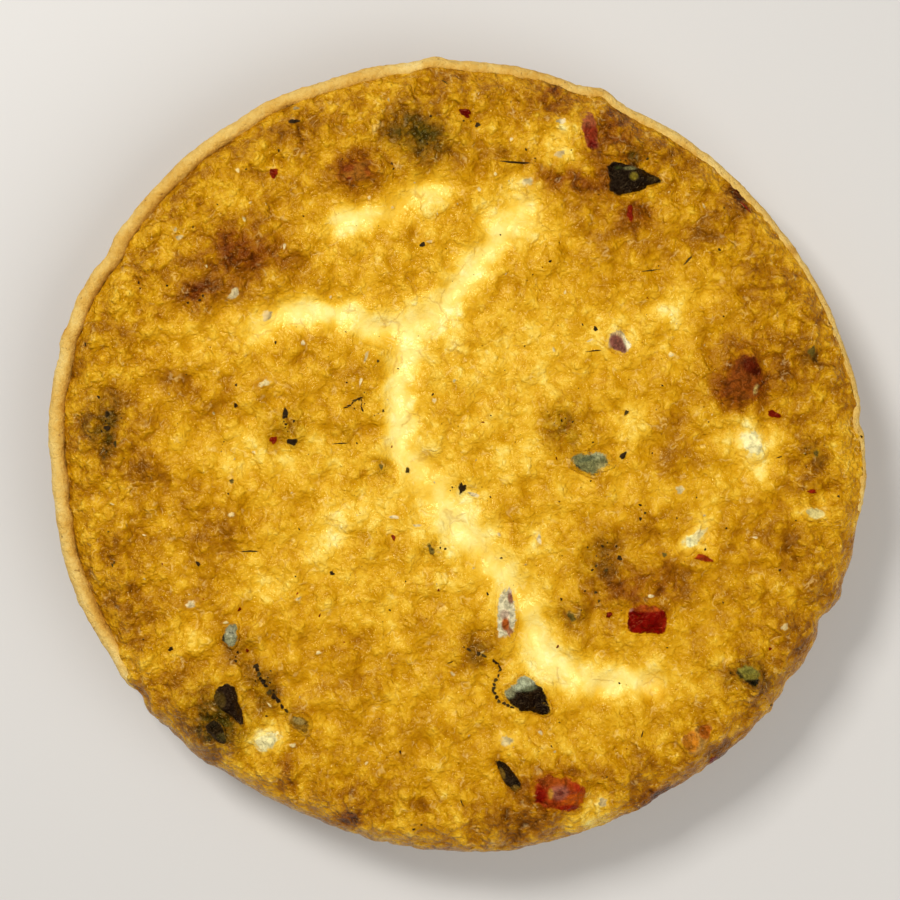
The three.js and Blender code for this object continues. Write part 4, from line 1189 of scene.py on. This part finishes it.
# Wilted stalks: (width, line)
STALKS = [
    (1.5, [(3, -56), (10, -59), (12.5, -62), (10.5, -66), (10, -68.5), (12, -71.5), (16, -73)]),
    (2, [(-59, -61), (-58, -64), (-55.5, -68), (-52, -72), (-49, -76)]),
    (0.8, [(-33, 14.5), (-30.5, 16.5), (-28, 17.5)]),
    (0.7, [(-28.5, 17), (-28, 13)]),
]


def inside_top(x, y, least):
    angle, distance = polar_of(x, y)
    return distance < edge_at(angle)[0] - least


CLEAR_SHARE = 1.15  # flecks keep this far out from a topping's middle, as a share of its outline
UNDER_SHARE = 0.8  # the underside's edge lies at this share of the radius
BIT_LOBES = ((2, 0.16), (3, 0.14), (5, 0.08))  # (how many, how far out)
STALK_STEP, STALK_LONG = 0.35, 2.2


def clear_of_toppings(x, y):
    return all(share_of(topping, x, y) > CLEAR_SHARE for topping in TOPPINGS)


def scatter(count, least_edge, seed):
    """Places spread at random over the top, clear of the toppings."""
    draw = np.random.default_rng(seed)
    places = []
    while len(places) < count:
        x, y = draw.uniform(-120, 120, 2)
        if inside_top(x, y, least_edge) and clear_of_toppings(x, y):
            places.append((x, y))
    return places


def lens_shape(rings, sides):
    """A flat round body: each point's share of the radius, its angle, 0 on top or 1 below, and the faces."""
    top = np.repeat(np.arange(1, rings + 1) / rings, sides)
    share = np.concatenate([[0], top, np.full(sides, UNDER_SHARE), [0]])
    turns = np.tile(2 * np.pi * np.arange(sides) / sides, rings + 1)
    turn = np.concatenate([[0], turns, [0]])
    under = np.concatenate([np.zeros(1 + rings * sides), np.ones(sides + 1)])
    faces = []
    for k in range(sides):
        after = (k + 1) % sides
        faces.append((0, 1 + k, 1 + after))
        for ring in range(rings):
            a, b = 1 + ring * sides, 1 + (ring + 1) * sides
            faces.append((a + k, b + k, b + after, a + after))
        last = 1 + rings * sides
        faces.append((last + k, last + sides, last + after))
    return share, turn, under, faces


def make_bits(name, kind, rows, rings, sides, seed):
    """One piece of many bits: rows of (x, y, long, wide, turn)."""
    material, slot, lift, film_from, film_to, codes = BIT_KINDS[kind]
    draw = np.random.default_rng(seed)
    share, turn, under, faces = lens_shape(rings, sides)
    count, size = len(rows), len(share)
    at_x, at_y, long, wide, turned = (column[:, None] for column in np.array(rows, float).T)
    turned = np.radians(turned)
    wave = 1
    for lobe, most in BIT_LOBES:
        wave = wave + most * np.cos(lobe * turn + draw.uniform(0, 2 * np.pi, (count, 1)))
    out = share * SKIRT
    along, across = out * wave * np.cos(turn) * long / 2, out * wave * np.sin(turn) * wide / 2
    x = (at_x + along * np.cos(turned) - across * np.sin(turned)).ravel()
    y = (at_y + along * np.sin(turned) + across * np.cos(turned)).ravel()
    thick = lift * np.clip(wide / 2, 0.4, 1)
    rise = (thick * (1 - out ** 3) - 0.5 * smooth(out, 0.9, SKIRT) - 0.5 * under).ravel()
    flat = np.stack([x, y, surface(x, y)], 1)
    mesh = bpy.data.meshes.new(name)
    every = [tuple(corner + k * size for corner in face) for k in range(count) for face in faces]
    mesh.from_pydata((inside_box(raised(flat, rise)) * MM).tolist(), [], every)
    piece = bpy.data.objects.new(name, mesh)
    bpy.context.scene.collection.objects.link(piece)
    shades = np.array([colour(code) for code in codes])[draw.integers(0, len(codes), count)]
    paint(piece, "tint", np.repeat(shades, size, axis=0))
    paint(piece, "cover", np.tile(film_at(out, film_from, film_to), count))
    paint_baked(piece, flat)
    finish_piece(piece, "filling", MATERIALS[material])


def dot_rows(kind, draw):
    """The dots of a kind, nearly round and turned at random."""
    rows = []
    for (dot_kind, width), places in DOTS.items():
        if dot_kind == kind:
            for x, y in places:
                rows.append((x, y, width, width * draw.uniform(0.7, 1), draw.uniform(0, 180)))
    return rows


def herb_places(draw):
    """Places of chopped herbs, spread over the top and close together in the clusters."""
    places = scatter(HERB_SPREAD, 4, SEED + 3)
    for x, y, radius in HERB_CLUSTERS:
        for _ in range(round(CLUSTER_CLOSE * radius)):
            places.append((x + radius * draw.normal() * 0.5, y + radius * draw.normal() * 0.5))
    return places


def fleck_rows(places, draw, least, more, power, thin, thick):
    """A fleck at each place, at random sizes and turns. A higher power makes more of them small."""
    rows = []
    for x, y in places:
        long = least + more * draw.random() ** power
        rows.append((x, y, long, long * draw.uniform(thin, thick), draw.uniform(0, 360)))
    return rows


def stalk_rows(draw):
    """Short overlapping bits along each stalk."""
    rows = []
    for width, line in STALKS:
        line = np.array(line)
        for at in np.arange(0, len(line) - 1, STALK_STEP):
            x, y = (np.interp(at + draw.uniform(-0.1, 0.1), np.arange(len(line)), line[:, k]) for k in (0, 1))
            heading = line[int(at) + 1] - line[int(at)]
            turn = math.degrees(math.atan2(heading[1], heading[0])) + draw.uniform(-25, 25)
            rows.append((x, y, STALK_LONG, width * draw.uniform(0.6, 1.3), turn))
    return rows


def make_all_bits():
    draw = np.random.default_rng(SEED + 1)
    for kind, rows in BITS.items():
        make_bits(kind + "_pieces", kind, rows + dot_rows(kind, draw), 6, 24, SEED + 2)
    make_bits("leaf_shreds", "herb", SHREDS, 4, 24, SEED + 7)
    rows = fleck_rows(herb_places(draw), draw, 0.35, 1.1, 3, 0.5, 0.9)
    make_bits("herb_flecks", "herb", rows, 2, 8, SEED + 4)
    for kind, (count, least, more) in FLECKS.items():
        rows = fleck_rows(scatter(count, 6, SEED + count), draw, least, more, 2, 0.4, 0.8)
        make_bits(kind + "_flecks", kind, rows, 4, 12, SEED + 5)
    make_bits("spinach_stalks", "herb", stalk_rows(draw), 4, 12, SEED + 6)


# ---- Camera, light and floor ----

VIEW_WIDTH = 265.0  # width of the view at the rim
VIEW_HEIGHT = 26.5  # height of the plane that the width is measured in
VIEW_MIDDLE = (-2.5, 2.06)
LENS = 90
SENSOR = 36
KEY_LIGHT = ((-0.5, 0.55, 1.0), 0.35, 12)  # place, size, power
FILL_LIGHT = ((0.7, -0.5, 1.0), 1.2, 11)
SKY_STRENGTH = 0.3


def set_up_view():
    distance = VIEW_WIDTH * LENS / SENSOR
    place = (*VIEW_MIDDLE, VIEW_HEIGHT + distance)
    bpy.ops.object.camera_add(location=[value * MM for value in place])
    camera = bpy.context.object
    camera.data.lens = LENS
    camera.data.sensor_width = SENSOR
    camera.data.clip_start = 0.01
    bpy.context.scene.camera = camera


def add_light(name, place, size, power):
    bpy.ops.object.light_add(type="AREA", location=place)
    light = bpy.context.object
    light.name = name
    light.data.size = size
    light.data.energy = power
    light.rotation_euler = (-Vector(place)).to_track_quat("-Z", "Y").to_euler()
    return light


def set_up_stage():
    floor = start_piece("floor", bpy.ops.mesh.primitive_plane_add, size=6)
    material, _, shader = new_material("floor_paint", Roughness=0.6)
    shader.inputs["Base Color"].default_value = colour("#c9c5bf")
    floor.data.materials.append(material)
    add_light("key_light", *KEY_LIGHT)
    # Only the key light gives highlights, so dark leaves stay dark
    add_light("fill_light", *FILL_LIGHT).visible_glossy = False
    world = bpy.data.worlds.new("studio")
    bpy.context.scene.world = world
    world.cycles_visibility.glossy = False
    world.use_nodes = True
    world.node_tree.nodes["Background"].inputs["Color"].default_value = (1, 1, 1, 1)
    world.node_tree.nodes["Background"].inputs["Strength"].default_value = SKY_STRENGTH
    bpy.context.scene.view_settings.view_transform = "Standard"


set_up_view()
set_up_stage()
make_filling()
make_crust()
for topping in TOPPINGS:
    make_topping(topping)
make_all_bits()
